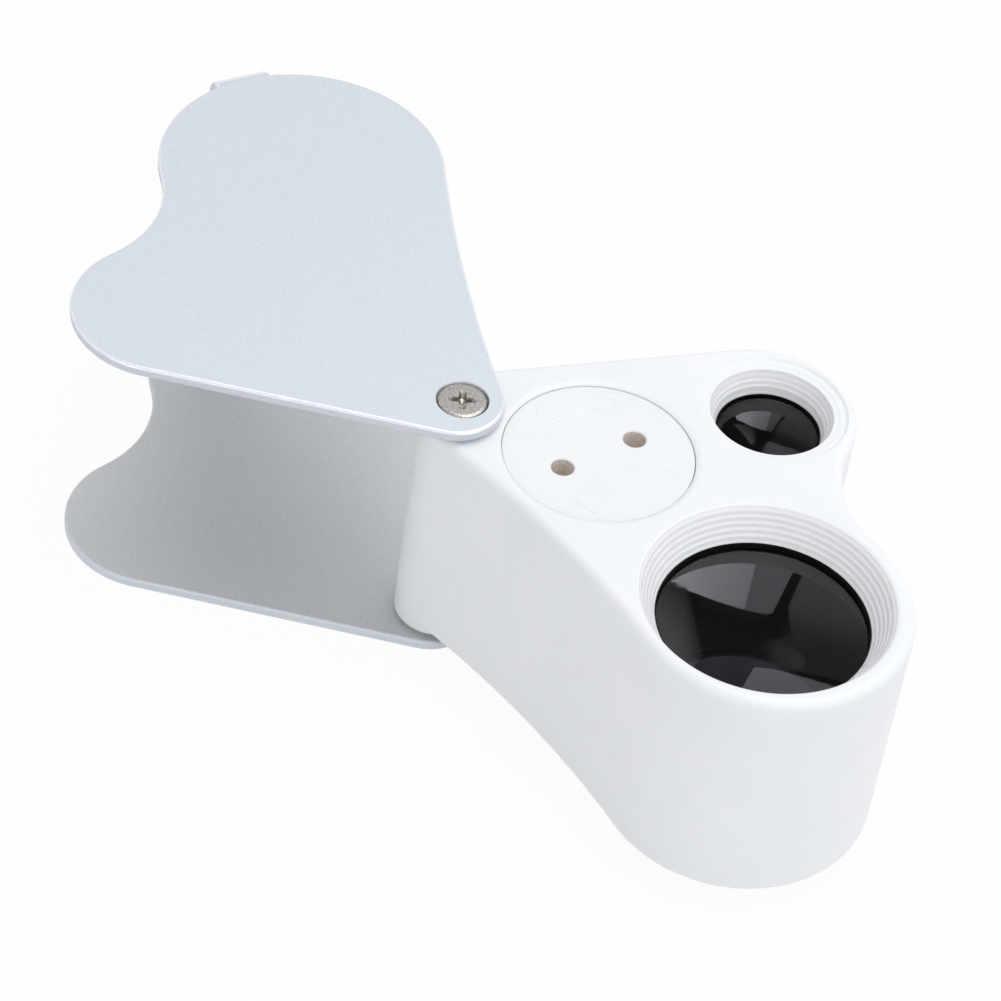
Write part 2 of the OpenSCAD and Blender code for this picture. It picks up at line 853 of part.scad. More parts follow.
// Points of a spherical cap from its middle to its rim: radius a, height h
function crown(a, h, n = 12) =
    let(sphere_r = (a * a + h * h) / (2 * h))
    [for (i = [0:n]) let(t = asin(a / sphere_r) * i / n)
        [sphere_r * sin(t), sphere_r * cos(t) - sphere_r + h]];

// Lens with a flat land round both of its curved faces
module lens(r, z, edge, upper_r, lower_r, upper_h, lower_h) {
    upper = crown(upper_r, upper_h);
    lower = crown(lower_r, lower_h);
    last = len(upper) - 1;
    color([0.35, 0.38, 0.45, 0.6])
        rotate_extrude()
            polygon(concat(
                [for (p = lower) [p[0], z - p[1]]],
                [[r, z], [r, z + edge]],
                [for (i = [0:last]) [upper[last - i][0], z + edge + upper[last - i][1]]]));
}

module eye_lens(r, eye_r, foot, edge, upper_h, lower_h) {
    lens(r, foot - edge, edge - slip, eye_r - slip - ring_wall, r - lens_land, upper_h, lower_h);
}

module object_lens(r, upper_h, lower_h) {
    lens(r, base_top + slip, object_edge - slip, r - lens_land, r - lens_land, upper_h, lower_h);
}

module eye_ring(eye_r, foot) {
    color([0.06, 0.06, 0.07])
        tube(eye_r - slip, eye_r - ring_wall, foot, ring_t);
}

module large_barrel() {
    at(large_at)
        barrel(large_eye_foot, large_barrel_r, large_lens_r, large_edge, large_object_r);
}

module large_eye_lens() {
    at(large_at)
        eye_lens(large_lens_r, large_eye_r, large_eye_foot, large_edge,
            large_eye_upper, large_eye_lower);
}

module large_object_lens() {
    at(large_at)
        object_lens(large_object_r, large_object_upper, large_object_lower);
}

module large_eye_ring() {
    at(large_at)
        eye_ring(large_eye_r, large_eye_foot);
}

module small_barrel() {
    at(small_at)
        barrel(small_eye_foot, small_barrel_r, small_lens_r, small_edge, small_object_r);
}

module small_eye_lens() {
    at(small_at)
        eye_lens(small_lens_r, small_eye_r, small_eye_foot, small_edge,
            small_eye_upper, small_eye_lower);
}

module small_object_lens() {
    at(small_at)
        object_lens(small_object_r, small_object_upper, small_object_lower);
}

module small_eye_ring() {
    at(small_at)
        eye_ring(small_eye_r, small_eye_foot);
}

case_sheet();
pivot_post();
pivot_screws();
washer_top();
washer_bottom();
body_shell();
base_cover();
base_screws();
battery_cap();
cap_contact();
battery_cell_top();
battery_cell_middle();
battery_cell_bottom();
battery_leaf();
side_contact();
circuit_board();
lamp_large();
lamp_small();
switch_leaf();
switch_contact();
large_barrel();
large_eye_lens();
large_object_lens();
large_eye_ring();
small_barrel();
small_eye_lens();
small_object_lens();
small_eye_ring();
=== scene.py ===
from math import acos, atan2, cos, degrees, pi, radians, sin
import bmesh
import bpy
import numpy as np
from mathutils import Matrix


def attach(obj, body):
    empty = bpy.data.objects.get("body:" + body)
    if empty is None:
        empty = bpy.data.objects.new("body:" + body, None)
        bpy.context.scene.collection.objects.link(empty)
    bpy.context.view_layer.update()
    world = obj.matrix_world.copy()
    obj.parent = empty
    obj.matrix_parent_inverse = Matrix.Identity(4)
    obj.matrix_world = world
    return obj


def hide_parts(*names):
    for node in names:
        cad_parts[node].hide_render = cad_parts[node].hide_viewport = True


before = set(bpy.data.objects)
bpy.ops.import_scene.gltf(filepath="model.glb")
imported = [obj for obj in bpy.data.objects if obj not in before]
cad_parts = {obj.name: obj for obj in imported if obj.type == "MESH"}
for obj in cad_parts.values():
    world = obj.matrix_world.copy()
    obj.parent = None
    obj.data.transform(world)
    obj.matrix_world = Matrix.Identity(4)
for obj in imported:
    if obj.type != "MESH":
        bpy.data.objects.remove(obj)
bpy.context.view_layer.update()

# Lengths are in millimetres up to the point where a mesh is made
MM = 0.001
# How far the case is turned about the pivot, which stands at the origin
CASE_ANGLE = 153.6
CASE_H = 30.4
SHEET = 1.2
UPPER_PLATE = CASE_H - SHEET
PLATE_EDGE_R = 0.35
# The web between the plates: outer face, middle line, width, inner radius of its bends
WEB_END = 54.398
WEB_Y = 0.3
WEB_WIDTH = 6.2
WEB_BEND_R = 0.9
WEB_TURN = WEB_END - WEB_BEND_R - SHEET
BODY_FOOT = 2.45
BODY_TOP = 28.85
# Height over the body where the cutters from above start
OVER_BODY = 30
CAP_TOP = 28.58
WALL = 1.5
TOP_WALL = 1.6
POST_R = 2.15
BASE_TOP = 4.05
CAP_AT = (13.1, 4.85)
LARGE_AT = (36.298, 0.0)
SMALL_AT = (22.103, 21.502)
# Middles of the two lamps and of the base cover's three screw bosses
LAMPS = ((21.806, 3.0), (16.903, 12.896))
BOSSES = ((7.863, 11.673), (23.579, -5.61), (30.022, 14.17))
# Each funnel's middle, the radius of the lens barrel under it, and its depth
FUNNELS = ((LARGE_AT, 11.5, 3.3), (SMALL_AT, 6.5, 2.85))
PIVOT_HEAD = {"head_r": 2.53, "head_h": 1.48, "thread_r": 1.2}
BASE_SCREW_FACE = BODY_FOOT + 0.05
BASE_HEAD_R = 1.75
BASE_THREAD_R = 0.9
# Outlines: each lobe's middle and radius (end, large, small), then both hollows' radii
CASE_FORM = ((0.5, 0.7), 5.0, (37.898, 0.0), 14.8, SMALL_AT, 9.5, 196.0, 12.5)
BODY_FORM = ((0.9, 1.3), 5.6, (36.698, 0.1), 13.6, (21.503, 20.702), 9.4, 109.0, 12.5)


# Curves in the plane
def directions(angles):
    """Unit vectors (cos a, sin a) for angles a in degrees, as rows."""
    a = np.radians(np.asarray(angles, float))
    return np.stack([np.cos(a), np.sin(a)], axis=-1)


def arc(middle, radius, start, end, count):
    """Points middle + radius * (cos a, sin a), with count angles a spread evenly from
    start to end."""
    return np.asarray(middle) + radius * directions(np.linspace(start, end, count))


def outline(form):
    """Heart-shaped outline and its outward unit normals.

    Three lobes, each an arc about its middle, are joined by two hollow arcs that
    touch them, and a straight back closes the form. The cosine rule on the three
    middles gives the angle at which a hollow arc leaves a lobe. A point is
    middle + radius * (cos a, sin a); on a hollow arc the normal is turned round.
    """
    end, end_r, large, large_r, small, small_r, hollow_r, notch_r = form
    end, large, small = map(np.array, (end, large, small))

    def towards(p, q):
        return degrees(atan2(q[1] - p[1], q[0] - p[0]))

    def lean(p, p_r, q, q_r, r):
        span = np.linalg.norm(q - p)
        return degrees(acos(((r + p_r) ** 2 + span ** 2 - (r + q_r) ** 2) / (2 * (r + p_r) * span)))

    back = towards(end, small) + degrees(acos((end_r - small_r) / np.linalg.norm(small - end)))
    leave_end = towards(end, large) - lean(end, end_r, large, large_r, hollow_r)
    hollow = end + (hollow_r + end_r) * directions(leave_end)
    meet_large = towards(large, hollow)
    leave_large = towards(large, small) - lean(large, large_r, small, small_r, notch_r)
    notch = large + (notch_r + large_r) * directions(leave_large)
    meet_small = towards(small, notch)
    parts = [
        (end, end_r, 1, np.linspace(back, leave_end + 360, 64)),
        (hollow, hollow_r, -1, np.linspace(leave_end + 180, meet_large + 180, 34)[1:-1]),
        (large, large_r, 1, np.linspace(meet_large, leave_large, 150)),
        (notch, notch_r, -1, np.linspace(leave_large + 180, meet_small + 180, 42)[1:-1]),
        (small, small_r, 1, np.linspace(meet_small, back, 100)),
    ]
    points = np.concatenate([m + r * directions(a) for m, r, way, a in parts])
    normals = np.concatenate([way * directions(a) for m, r, way, a in parts])
    return points, normals


def rounded(points, radii, steps=6):
    """Open profile whose inner corners give way to arcs.

    At a corner, a and b point to its neighbours and f is the angle between them.
    The arc's middle lies radius / sin(f / 2) along their bisector, and its points
    turn evenly between the two tangent points. A radius of nought keeps the corner.
    """
    p = np.asarray(points, float)
    r = np.concatenate([[0.0], np.broadcast_to(radii, len(p) - 2), [0.0]])
    a = np.roll(p, 1, axis=0) - p
    b = np.roll(p, -1, axis=0) - p
    a /= np.linalg.norm(a, axis=1, keepdims=True)
    b /= np.linalg.norm(b, axis=1, keepdims=True)
    half = np.arccos(np.clip((a * b).sum(1), -1, 1)) / 2
    bend = np.pi - 2 * half
    flat = (bend < 0.02) | (r == 0)
    half = np.where(flat, np.pi / 4, half)
    turn = np.where(flat, np.pi / 2, np.pi - 2 * half)
    r = np.where(flat, 0.0, r)
    bisector = a + b
    length = np.linalg.norm(bisector, axis=1, keepdims=True)
    bisector = bisector / np.where(length < 1e-9, 1, length)
    middle = p + bisector * (r / np.sin(half))[:, None]
    start = p + a * (r / np.tan(half))[:, None] - middle
    stop = p + b * (r / np.tan(half))[:, None] - middle
    s = np.linspace(0, 1, steps)[None, :, None]
    t = turn[:, None, None]
    swept = (np.sin((1 - s) * t) * start[:, None] + np.sin(s * t) * stop[:, None]) / np.sin(t)
    swept = np.where(flat[:, None, None], 0.0, swept)
    path = (middle[:, None] + swept).reshape(-1, 2)
    keep = np.concatenate([[True], np.linalg.norm(np.diff(path, axis=0), axis=1) > 1e-7])
    return path[keep]


# Surfaces
def surface(name, grid, capped=True, ring=False, turned=0.0):
    """Closed mesh on a grid of points grid[k, i].

    The last point of each row joins the first. With ring the last row joins the
    first row too; with capped the first and last rows get a flat face each.
    Points that fall together on an axis are merged, and faces turned outwards.
    """
    rows, columns = grid.shape[:2]
    at = np.arange(rows * columns).reshape(rows, columns)
    beside = np.roll(at, -1, axis=1)
    above = np.roll(at, -1, axis=0)
    beyond = np.roll(beside, -1, axis=0)
    quads = np.stack([at, beside, beyond, above], axis=-1)
    quads = (quads if ring else quads[:-1]).reshape(-1, 4).tolist()
    if capped and not ring:
        quads += [at[0, ::-1].tolist(), at[-1].tolist()]
    mesh = bpy.data.meshes.new(name)
    mesh.from_pydata((grid.reshape(-1, 3) * MM).tolist(), [], quads)
    work = bmesh.new()
    work.from_mesh(mesh)
    bmesh.ops.remove_doubles(work, verts=work.verts, dist=1e-7)
    bmesh.ops.recalc_face_normals(work, faces=work.faces)
    work.to_mesh(mesh)
    work.free()
    mesh.transform(Matrix.Rotation(radians(turned), 4, "Z"))
    piece = bpy.data.objects.new(name, mesh)
    bpy.context.scene.collection.objects.link(piece)
    return piece


def turned_part(name, profile, middle=(0, 0), closed=False, count=192):
    """Solid of revolution: a profile of (radius, height) carried round a vertical axis.

    A point at angle a is (middle x + radius * cos a, middle y + radius * sin a,
    height). closed joins the profile's ends; otherwise both lie on the axis.
    """
    profile = np.asarray(profile, float)
    around = directions(np.linspace(0, 360, count, endpoint=False))
    grid = np.empty((len(profile), count, 3))
    grid[..., :2] = profile[:, None, :1] * around[None] + np.asarray(middle)
    grid[..., 2] = profile[:, 1:]
    return surface(name, grid, capped=False, ring=closed)


def rod(name, radius, low, high, middle=(0, 0), top_radius=None):
    """Round bar or cone between two heights, as a solid of revolution."""
    upper = radius if top_radius is None else top_radius
    profile = [(0, low), (radius, low), (upper, high), (0, high)]
    return turned_part(name, profile, middle, count=128)


def form_solid(name, form, levels):
    """Prism of a form with shaped edges: for each level (inset, height) one ring,
    every point being outline point - inset * normal at that height."""
    points, normals = outline(form)
    inset, height = np.asarray(levels, float).T
    grid = np.empty((len(inset), len(points), 3))
    grid[..., :2] = points[None] - inset[:, None, None] * normals[None]
    grid[..., 2] = height[:, None]
    return surface(name, grid)


def rolled(low, high, low_r, high_r, inset=0.0, steps=9):
    """Levels of an upright wall with rolled edges: inset r * (1 - sin t) at height
    r * (1 - cos t) above the foot, and the same turned over below the top."""
    t = np.linspace(0, pi / 2, steps)
    foot = np.stack([low_r * (1 - np.sin(t)), low + low_r * (1 - np.cos(t))], axis=1)
    head = np.stack([high_r * (1 - np.cos(t)), high - high_r * (1 - np.sin(t))], axis=1)
    return np.concatenate([foot, head]) + [inset, 0]


def plate_prism(name, points, low, high, middle=(0, 0), turned=0.0):
    """Prism over a closed curve of points, straight between two heights."""
    points = np.asarray(points, float) + np.asarray(middle)
    grid = np.empty((2, len(points), 3))
    grid[..., :2] = points[None]
    grid[0, :, 2], grid[1, :, 2] = low, high
    return surface(name, grid, turned=turned)


def block(name, low, high, turned=0.0):
    """Cutter with square corners between two corner points."""
    corners = [(low[0], low[1]), (high[0], low[1]), (high[0], high[1]), (low[0], high[1])]
    return plate_prism(name, corners, low[2], high[2], turned=turned)


# Joining and cutting
def worked(piece):
    """Carries out a piece's modifiers in its mesh."""
    graph = bpy.context.evaluated_depsgraph_get()
    mesh = bpy.data.meshes.new_from_object(piece.evaluated_get(graph))
    plain = piece.data
    piece.modifiers.clear()
    piece.data = mesh
    bpy.data.meshes.remove(plain)


def combine(piece, tools, operation):
    """Works the tools into a piece one after the other, and removes them."""
    for tool in tools:
        step = piece.modifiers.new("step", "BOOLEAN")
        step.operation, step.solver, step.object = operation, "MANIFOLD", tool
    worked(piece)
    for tool in tools:
        mesh = tool.data
        bpy.data.objects.remove(tool)
        bpy.data.meshes.remove(mesh)
    return piece


def cut(piece, *tools):
    """Cuts the tools out of a piece."""
    return combine(piece, tools, "DIFFERENCE")


def join(piece, *tools):
    """Joins the tools to a piece."""
    return combine(piece, tools, "UNION")


def crease_flats(mesh):
    """Marks as sharp each edge where a level face meets a sloping one."""
    normals = np.empty(len(mesh.polygons) * 3)
    corners = np.empty(len(mesh.polygons), int)
    edges = np.empty(len(mesh.loops), int)
    creased = np.empty(len(mesh.edges), bool)
    mesh.polygons.foreach_get("normal", normals)
    mesh.polygons.foreach_get("loop_total", corners)
    mesh.loops.foreach_get("edge_index", edges)
    mesh.edges.foreach_get("use_edge_sharp", creased)
    level = np.repeat(abs(normals[2::3]) > 0.99999, corners)
    creased |= np.bincount(edges, weights=level, minlength=len(creased)) == 1
    mesh.edges.foreach_set("use_edge_sharp", creased)


def finished(piece, material, body, node, sharp=32):
    """Smooths a piece up to its sharp edges, gives it its material, lets it stand for its
    node and hangs it on its body. sharp is the least angle of a sharp edge."""
    mesh = piece.data
    mesh.shade_smooth()
    mesh.set_sharp_from_angle(angle=radians(sharp))
    crease_flats(mesh)
    even = piece.modifiers.new("even", "WEIGHTED_NORMAL")
    even.keep_sharp = True
    even.weight = 60
    worked(piece)
    piece.data.materials.clear()
    piece.data.materials.append(material)
    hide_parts(node)
    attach(piece, body)


def face_values(piece, key):
    """Middle (in millimetres) or normal of every face of a piece, as rows."""
    values = np.empty(len(piece.data.polygons) * 3)
    piece.data.polygons.foreach_get(key, values)
    return values.reshape(-1, 3) / (MM if key == "center" else 1)


def distance(points, middle):
    """Level distance of each row of points from an upright axis."""
    return np.linalg.norm(points[:, :2] - np.asarray(middle), axis=1)


def second_finish(piece, material, faces):
    """Gives one more material to the faces whose flag is set."""
    slot = np.empty(len(faces), np.int32)
    piece.data.polygons.foreach_get("material_index", slot)
    piece.data.materials.append(material)
    slot[faces] = len(piece.data.materials) - 1
    piece.data.polygons.foreach_set("material_index", slot)


# Finishes
def seen(red, green, blue):
    """Shader colour of a tone given in the 0 to 255 values of a picture."""
    c = np.array([red, green, blue]) / 255
    light = np.where(c <= 0.04045, c / 12.92, ((c + 0.055) / 1.055) ** 2.4)
    return (*light.tolist(), 1.0)


class Finish:
    """Material with one gloss shader and patterns that lie on the piece's own coordinates."""

    def __init__(self, name, **sockets):
        self.material = bpy.data.materials.new(name)
        self.material.use_nodes = True
        self.tree = self.material.node_tree
        self.shader = self.tree.nodes["Principled BSDF"]
        self.place = self.tree.nodes.new("ShaderNodeTexCoord").outputs["Object"]
        for socket, value in sockets.items():
            self.shader.inputs[socket.replace("_", " ")].default_value = value

    def link(self, source, target):
        self.tree.links.new(source, target)

    def moved(self, stretch=(1, 1, 1), shift=(0, 0, 0)):
        node = self.tree.nodes.new("ShaderNodeMapping")
        node.inputs["Scale"].default_value = stretch
        node.inputs["Location"].default_value = shift
        self.link(self.place, node.inputs["Vector"])
        return node.outputs["Vector"]

    def grain(self, size_mm, detail=2.0, stretch=(1, 1, 1), shift=(0, 0, 0)):
        """Soft noise whose patches are about size_mm wide."""
        node = self.tree.nodes.new("ShaderNodeTexNoise")
        node.inputs["Scale"].default_value = 1 / (size_mm * MM)
        node.inputs["Detail"].default_value = detail
        self.link(self.moved(stretch, shift), node.inputs["Vector"])
        return node.outputs["Fac"]

    def cells(self, size_mm):
        """Random value for each cell about size_mm wide."""
        node = self.tree.nodes.new("ShaderNodeTexVoronoi")
        node.inputs["Scale"].default_value = 1 / (size_mm * MM)
        self.link(self.place, node.inputs["Vector"])
        split = self.tree.nodes.new("ShaderNodeSeparateColor")
        self.link(node.outputs["Color"], split.inputs["Color"])
        return split.outputs["Red"]

    def rings(self, pitch_mm, wobble):
        """Fine turning marks about the pivot's axis. At a scale of 1 the wave texture's
        rings lie 2 pi / 20 apart."""
        node = self.tree.nodes.new("ShaderNodeTexWave")
        node.wave_type, node.rings_direction = "RINGS", "Z"
        node.inputs["Scale"].default_value = 2 * pi / 20 / (pitch_mm * MM)
        node.inputs["Distortion"].default_value = wobble
        self.link(self.place, node.inputs["Vector"])
        return node.outputs["Fac"]

    def ranged(self, pattern, low, high, start=0.3, stop=0.7):
        """The pattern with its values from start to stop spread from low to high."""
        node = self.tree.nodes.new("ShaderNodeMapRange")
        ends = {"From Min": start, "From Max": stop, "To Min": low, "To Max": high}
        for socket, value in ends.items():
            node.inputs[socket].default_value = value
        self.link(pattern, node.inputs["Value"])
        return node.outputs["Result"]

    def tones(self, pattern, low, high, start=0.3, stop=0.7):
        """Base colour that runs from one tone to the other with the pattern."""
        node = self.tree.nodes.new("ShaderNodeMix")
        node.data_type = "RGBA"
        sockets = [s for s in node.inputs if s.type == "RGBA"]
        sockets[0].default_value, sockets[1].default_value = low, high
        self.link(self.ranged(pattern, 0, 1, start, stop), node.inputs["Factor"])
        out = [s for s in node.outputs if s.type == "RGBA"][0]
        self.link(out, self.shader.inputs["Base Color"])

    def gloss(self, pattern, low, high):
        """Roughness that runs from low to high with the pattern."""
        self.link(self.ranged(pattern, low, high), self.shader.inputs["Roughness"])

    def relief(self, *layers):
        """Bumps, each a pattern and its depth in millimetres."""
        below = None
        for pattern, depth in layers:
            node = self.tree.nodes.new("ShaderNodeBump")
            node.inputs["Distance"].default_value = depth * MM
            self.link(pattern, node.inputs["Height"])
            if below:
                self.link(below, node.inputs["Normal"])
            below = node.outputs["Normal"]
        self.link(below, self.shader.inputs["Normal"])


def white_moulding(name, low, high):
    """Satin white plastic with the fine texture of a spark-worked mould."""
    f = Finish(name, IOR=1.5, Specular_IOR_Level=0.45, Subsurface_Weight=0.35,
               Subsurface_Scale=0.9 * MM, Subsurface_Radius=(1.0, 0.97, 0.94))
    f.tones(f.grain(9, 3), seen(*low), seen(*high))
    f.gloss(f.grain(1.2, 3), 0.36, 0.46)
    f.relief((f.grain(0.16, 2), 0.0012), (f.grain(2.2, 2, shift=(3, 1, 0)), 0.002))
    return f.material


def case_paint(name, metallic, low, high, roughness, ripple):
    """Satin silver paint: metal flakes under a thin clear layer."""
    f = Finish(name, Metallic=metallic, IOR=1.5)
    f.tones(f.cells(0.1), seen(*low), seen(*high), 0, 1)
    f.gloss(f.grain(0.4, 3), *roughness)
    f.relief((f.grain(0.12, 1), 0.001), (f.grain(1.1, 2), ripple))
    return f.material


def painted_edge_highlight():
    """Rolled edges of the case in a lighter tone than the paint: a painted highlight along the
    edges.
    """
    f = Finish("painted_edge_highlight", Metallic=0.65, IOR=1.5)
    f.tones(f.grain(0.8, 3), seen(224, 228, 234), seen(235, 239, 244))
    f.gloss(f.grain(0.3, 3), 0.24, 0.36)
    f.relief((f.grain(0.15, 2), 0.001))
    return f.material


def bright_nickel():
    """Nickel plate over turned steel."""
    f = Finish("bright_nickel", Metallic=1.0)
    f.tones(f.grain(0.22, 4), seen(149, 145, 140), seen(186, 182, 177), 0.35, 0.65)
    f.gloss(f.grain(0.2, 4), 0.26, 0.42)
    f.relief((f.rings(0.1, wobble=0.5), 0.0012), (f.grain(0.09, 2), 0.0022))
    return f.material


def turned_steel():
    """Bare steel with fine marks round its upright axis."""
    f = Finish("turned_steel", Metallic=1.0)
    f.tones(f.grain(0.8, 4), seen(170, 170, 172), seen(196, 196, 198))
    f.gloss(f.grain(0.4, 3, stretch=(1, 1, 8)), 0.2, 0.36)
    f.relief((f.grain(0.15, 2, stretch=(0.2, 0.2, 3)), 0.0015))
    return f.material


def nylon():
    """Milky nylon of the two washers."""
    f = Finish("nylon", IOR=1.53, Subsurface_Weight=0.15, Subsurface_Scale=0.6 * MM)
    f.tones(f.grain(1.5, 3), seen(226, 226, 220), seen(236, 236, 231))
    f.gloss(f.grain(0.5, 2), 0.38, 0.5)
    f.relief((f.grain(0.2, 2), 0.002))
    return f.material


def contact_brass():
    """Rolled brass whose marks run along the strip."""
    f = Finish("contact_brass", Metallic=1.0)
    f.tones(f.grain(1.4, 4), seen(206, 170, 98), seen(228, 196, 126))
    f.gloss(f.grain(0.5, 4, stretch=(1, 6, 1)), 0.22, 0.4)
    f.relief((f.grain(0.12, 3, stretch=(1, 8, 1)), 0.0015))
    return f.material


def cell_steel():
    """Bright pressed steel of the button cells."""
    f = Finish("cell_steel", Metallic=1.0)
    f.tones(f.grain(2, 4), seen(198, 199, 202), seen(218, 219, 222))
    f.gloss(f.grain(0.8, 4), 0.16, 0.3)
    f.relief((f.grain(0.1, 2), 0.0008))
    return f.material


def board_laminate():
    """Green solder lacquer over glass cloth, whose weave shows faintly."""
    f = Finish("board_laminate", IOR=1.5)
    f.tones(f.grain(3, 3), seen(18, 84, 46), seen(30, 112, 62))
    f.gloss(f.grain(1, 2), 0.22, 0.36)
    f.relief((f.grain(0.5, 1, stretch=(1, 4, 1)), 0.003),
             (f.grain(0.5, 1, stretch=(4, 1, 1)), 0.003))
    return f.material


def lamp_resin():
    """Slightly clouded resin of the lamps."""
    f = Finish("lamp_resin", IOR=1.52, Transmission_Weight=0.85)
    f.tones(f.grain(1, 2), seen(244, 244, 232), seen(252, 252, 244))
    f.gloss(f.grain(0.6, 2), 0.05, 0.14)
    f.relief((f.grain(0.4, 1), 0.0008))
    return f.material


def black_plastic():
    """Matt black plastic, and the blackened rims of the lenses."""
    f = Finish("black_plastic", IOR=1.5, Specular_IOR_Level=0.16)
    f.tones(f.grain(2, 3), seen(9, 9, 10), seen(15, 15, 17))
    f.gloss(f.grain(0.4, 3), 0.5, 0.66)
    f.relief((f.grain(0.15, 2), 0.002))
    return f.material


def hole_shade_and_grime():
    """Plastic of the key holes, darker and browner: painted shade of the deep holes, with soil that
    the key leaves.
    """
    f = Finish("hole_shade_and_grime", IOR=1.5, Specular_IOR_Level=0.3)
    f.tones(f.grain(0.5, 4), seen(206, 196, 188), seen(234, 227, 221))
    f.gloss(f.grain(0.4, 3), 0.5, 0.7)
    f.relief((f.grain(0.15, 3), 0.006))
    return f.material


def clear_glass(name, index, patch_mm, low, high):
    """Clear glass of an index, with a faint tint in patches."""
    f = Finish(name, IOR=index, Transmission_Weight=1.0, Roughness=0.0)
    f.tones(f.grain(patch_mm, 2), seen(*low), seen(*high))
    return f.material


PLASTIC = white_moulding("white_moulding", (241, 243, 248), (245, 247, 251))
# A lighter copy of the moulding for the ribbed funnels: painted light that lifts the shade between
# the ribs
FUNNEL_PAINTED_LIGHT = white_moulding("funnel_painted_light", (249, 251, 255), (252, 253, 255))
PAINT = case_paint("silver_paint", 0.6, (202, 208, 215), (212, 218, 225), (0.5, 0.57), 0.001)
# The inner sides of the case get a darker copy of the paint: painted shade between the plates
INNER_PAINTED_SHADE = case_paint("inner_painted_shade", 0.55, (198, 200, 203), (209, 211, 214), (0.4, 0.5), 0.0012)
EDGE_HIGHLIGHT = painted_edge_highlight()
NICKEL = bright_nickel()
STEEL = turned_steel()
NYLON = nylon()
BRASS = contact_brass()
CELL = cell_steel()
BOARD = board_laminate()
RESIN = lamp_resin()
BLACK = black_plastic()
HOLE_SHADE_AND_GRIME = hole_shade_and_grime()
GLASS = clear_glass("lens_glass", 1.52, 6, (246, 248, 250), (252, 253, 254))
# The small eye lens has a coat that mirrors less
BLOOMED_GLASS = clear_glass("bloomed_glass", 1.37, 6, (246, 248, 250), (252, 253, 254))
# The lenses' inner faces have a coat that keeps them from mirroring, and on the glass
# next to the work a near-black tint is painted shade that stands for the dark room under the loupe
COATED = clear_glass("coated_glass", 1.1, 6, (240, 243, 248), (250, 251, 253))
PAINTED_SHADE_GLASS = clear_glass("glass_painted_shade", 1.1, 4, (1, 1, 2), (2, 2, 3))


# Case: two plates, and the strip that is bent over between them
def web_strip():
    """Strip carried along its bent path.

    At each place on the path the section is a rectangle with rounded edges: a
    point is path + side * (half width - r) + r * cos v across the strip, and
    half thickness - r + r * sin v along the path's outward normal. The half
    width grows as a square towards the plates, which gives the two roots.
    """
    root, lap, flare, r = 1.4, 3, 0.9, PLATE_EDGE_R
    half_t = SHEET / 2
    mid_r = WEB_BEND_R + half_t
    quarter = np.radians(np.linspace(0, 90, 15))
    run = np.linspace(WEB_TURN - root, WEB_TURN, 12)[:-1]
    run = np.concatenate([[WEB_TURN - root - lap], run])
    low_bend = np.stack([WEB_TURN + mid_r * np.sin(quarter),
                         mid_r + half_t - mid_r * np.cos(quarter)], 1)
    low = np.concatenate([np.stack([run, np.full_like(run, half_t)], 1), low_bend])
    low_n = np.concatenate([np.tile([0, -1], (len(run), 1)),
                            np.stack([np.sin(quarter), -np.cos(quarter)], 1)])
    mirror = np.array([1, -1])
    path = np.concatenate([low, (low * mirror + [0, CASE_H])[::-1]])
    normal = np.concatenate([low_n, (low_n * mirror)[::-1]])
    spread = np.clip((WEB_TURN - path[:, 0]) / root, 0, 1)
    half_w = WEB_WIDTH / 2 + flare * spread ** 2
    v = np.radians(np.concatenate([np.linspace(a, a + 90, 6) for a in (0, 90, 180, 270)]))
    side = np.repeat([1, -1, -1, 1], 6)
    face = np.repeat([1, 1, -1, -1], 6)
    across = side * (half_w[:, None] - r) + r * np.cos(v)
    outward = face * (half_t - r) + r * np.sin(v)
    grid = np.empty((len(path), len(v), 3))
    grid[..., 0] = path[:, :1] + normal[:, :1] * outward
    grid[..., 1] = WEB_Y + across
    grid[..., 2] = path[:, 1:] + normal[:, 1:] * outward
    return surface("web_strip", grid)


def screw_seat(middle, face, downwards, head_r, head_h, thread_r):
    """Cutter for a countersunk seat: softened mouth, rim, cone and thread hole."""
    way = 1 if downwards else -1
    over, end = 1.0, -3.0
    rim_r, hole_r = head_r - 0.02, thread_r + 0.05
    profile = rounded([(0, over), (head_r + 0.35, over), (head_r + 0.1, 0.03), (rim_r, -0.3),
                       (rim_r, -0.42), (hole_r, -head_h - 0.05), (hole_r, end), (0, end)],
                      [0, 0.12, 0.1, 0.05, 0, 0], 5)
    profile[:, 1] = face + way * profile[:, 1]
    return turned_part("seat", profile, middle, count=128)


def case_sheet():
    """Both plates with the web between them, turned to the open place."""
    half_web = WEB_WIDTH / 2
    r = PLATE_EDGE_R
    lower = form_solid("case_sheet_visual", CASE_FORM, rolled(0, SHEET, r, r, steps=7))
    join(lower, form_solid("upper", CASE_FORM, rolled(UPPER_PLATE, CASE_H, r, r, steps=7)))
    cut(lower, block("gap", (WEB_TURN, WEB_Y - half_web, -1), (60, WEB_Y + half_web, CASE_H + 1)))
    join(lower, web_strip())
    cut(lower, screw_seat((0, 0), CASE_H, True, **PIVOT_HEAD),
        screw_seat((0, 0), 0, False, **PIVOT_HEAD))
    lower.data.transform(Matrix.Rotation(radians(CASE_ANGLE), 4, "Z"))
    finished(lower, PAINT, "case", "case_sheet")
    height = face_values(lower, "center")[:, 2]
    up = face_values(lower, "normal")[:, 2]
    lower_inside = (up > 0.9) & (height < 2)
    upper_inside = (up < -0.9) & (height > 28)
    # Faces inside the case, between the plates, get the darker paint as painted shade
    second_finish(lower, INNER_PAINTED_SHADE, lower_inside | upper_inside)
    outer_edge = (height < r) | (height > CASE_H - r)
    # The rolled outer edges get the lighter tone: a painted highlight
    second_finish(lower, EDGE_HIGHLIGHT, (abs(up) > 0.17) & (abs(up) < 0.985) & outer_edge)


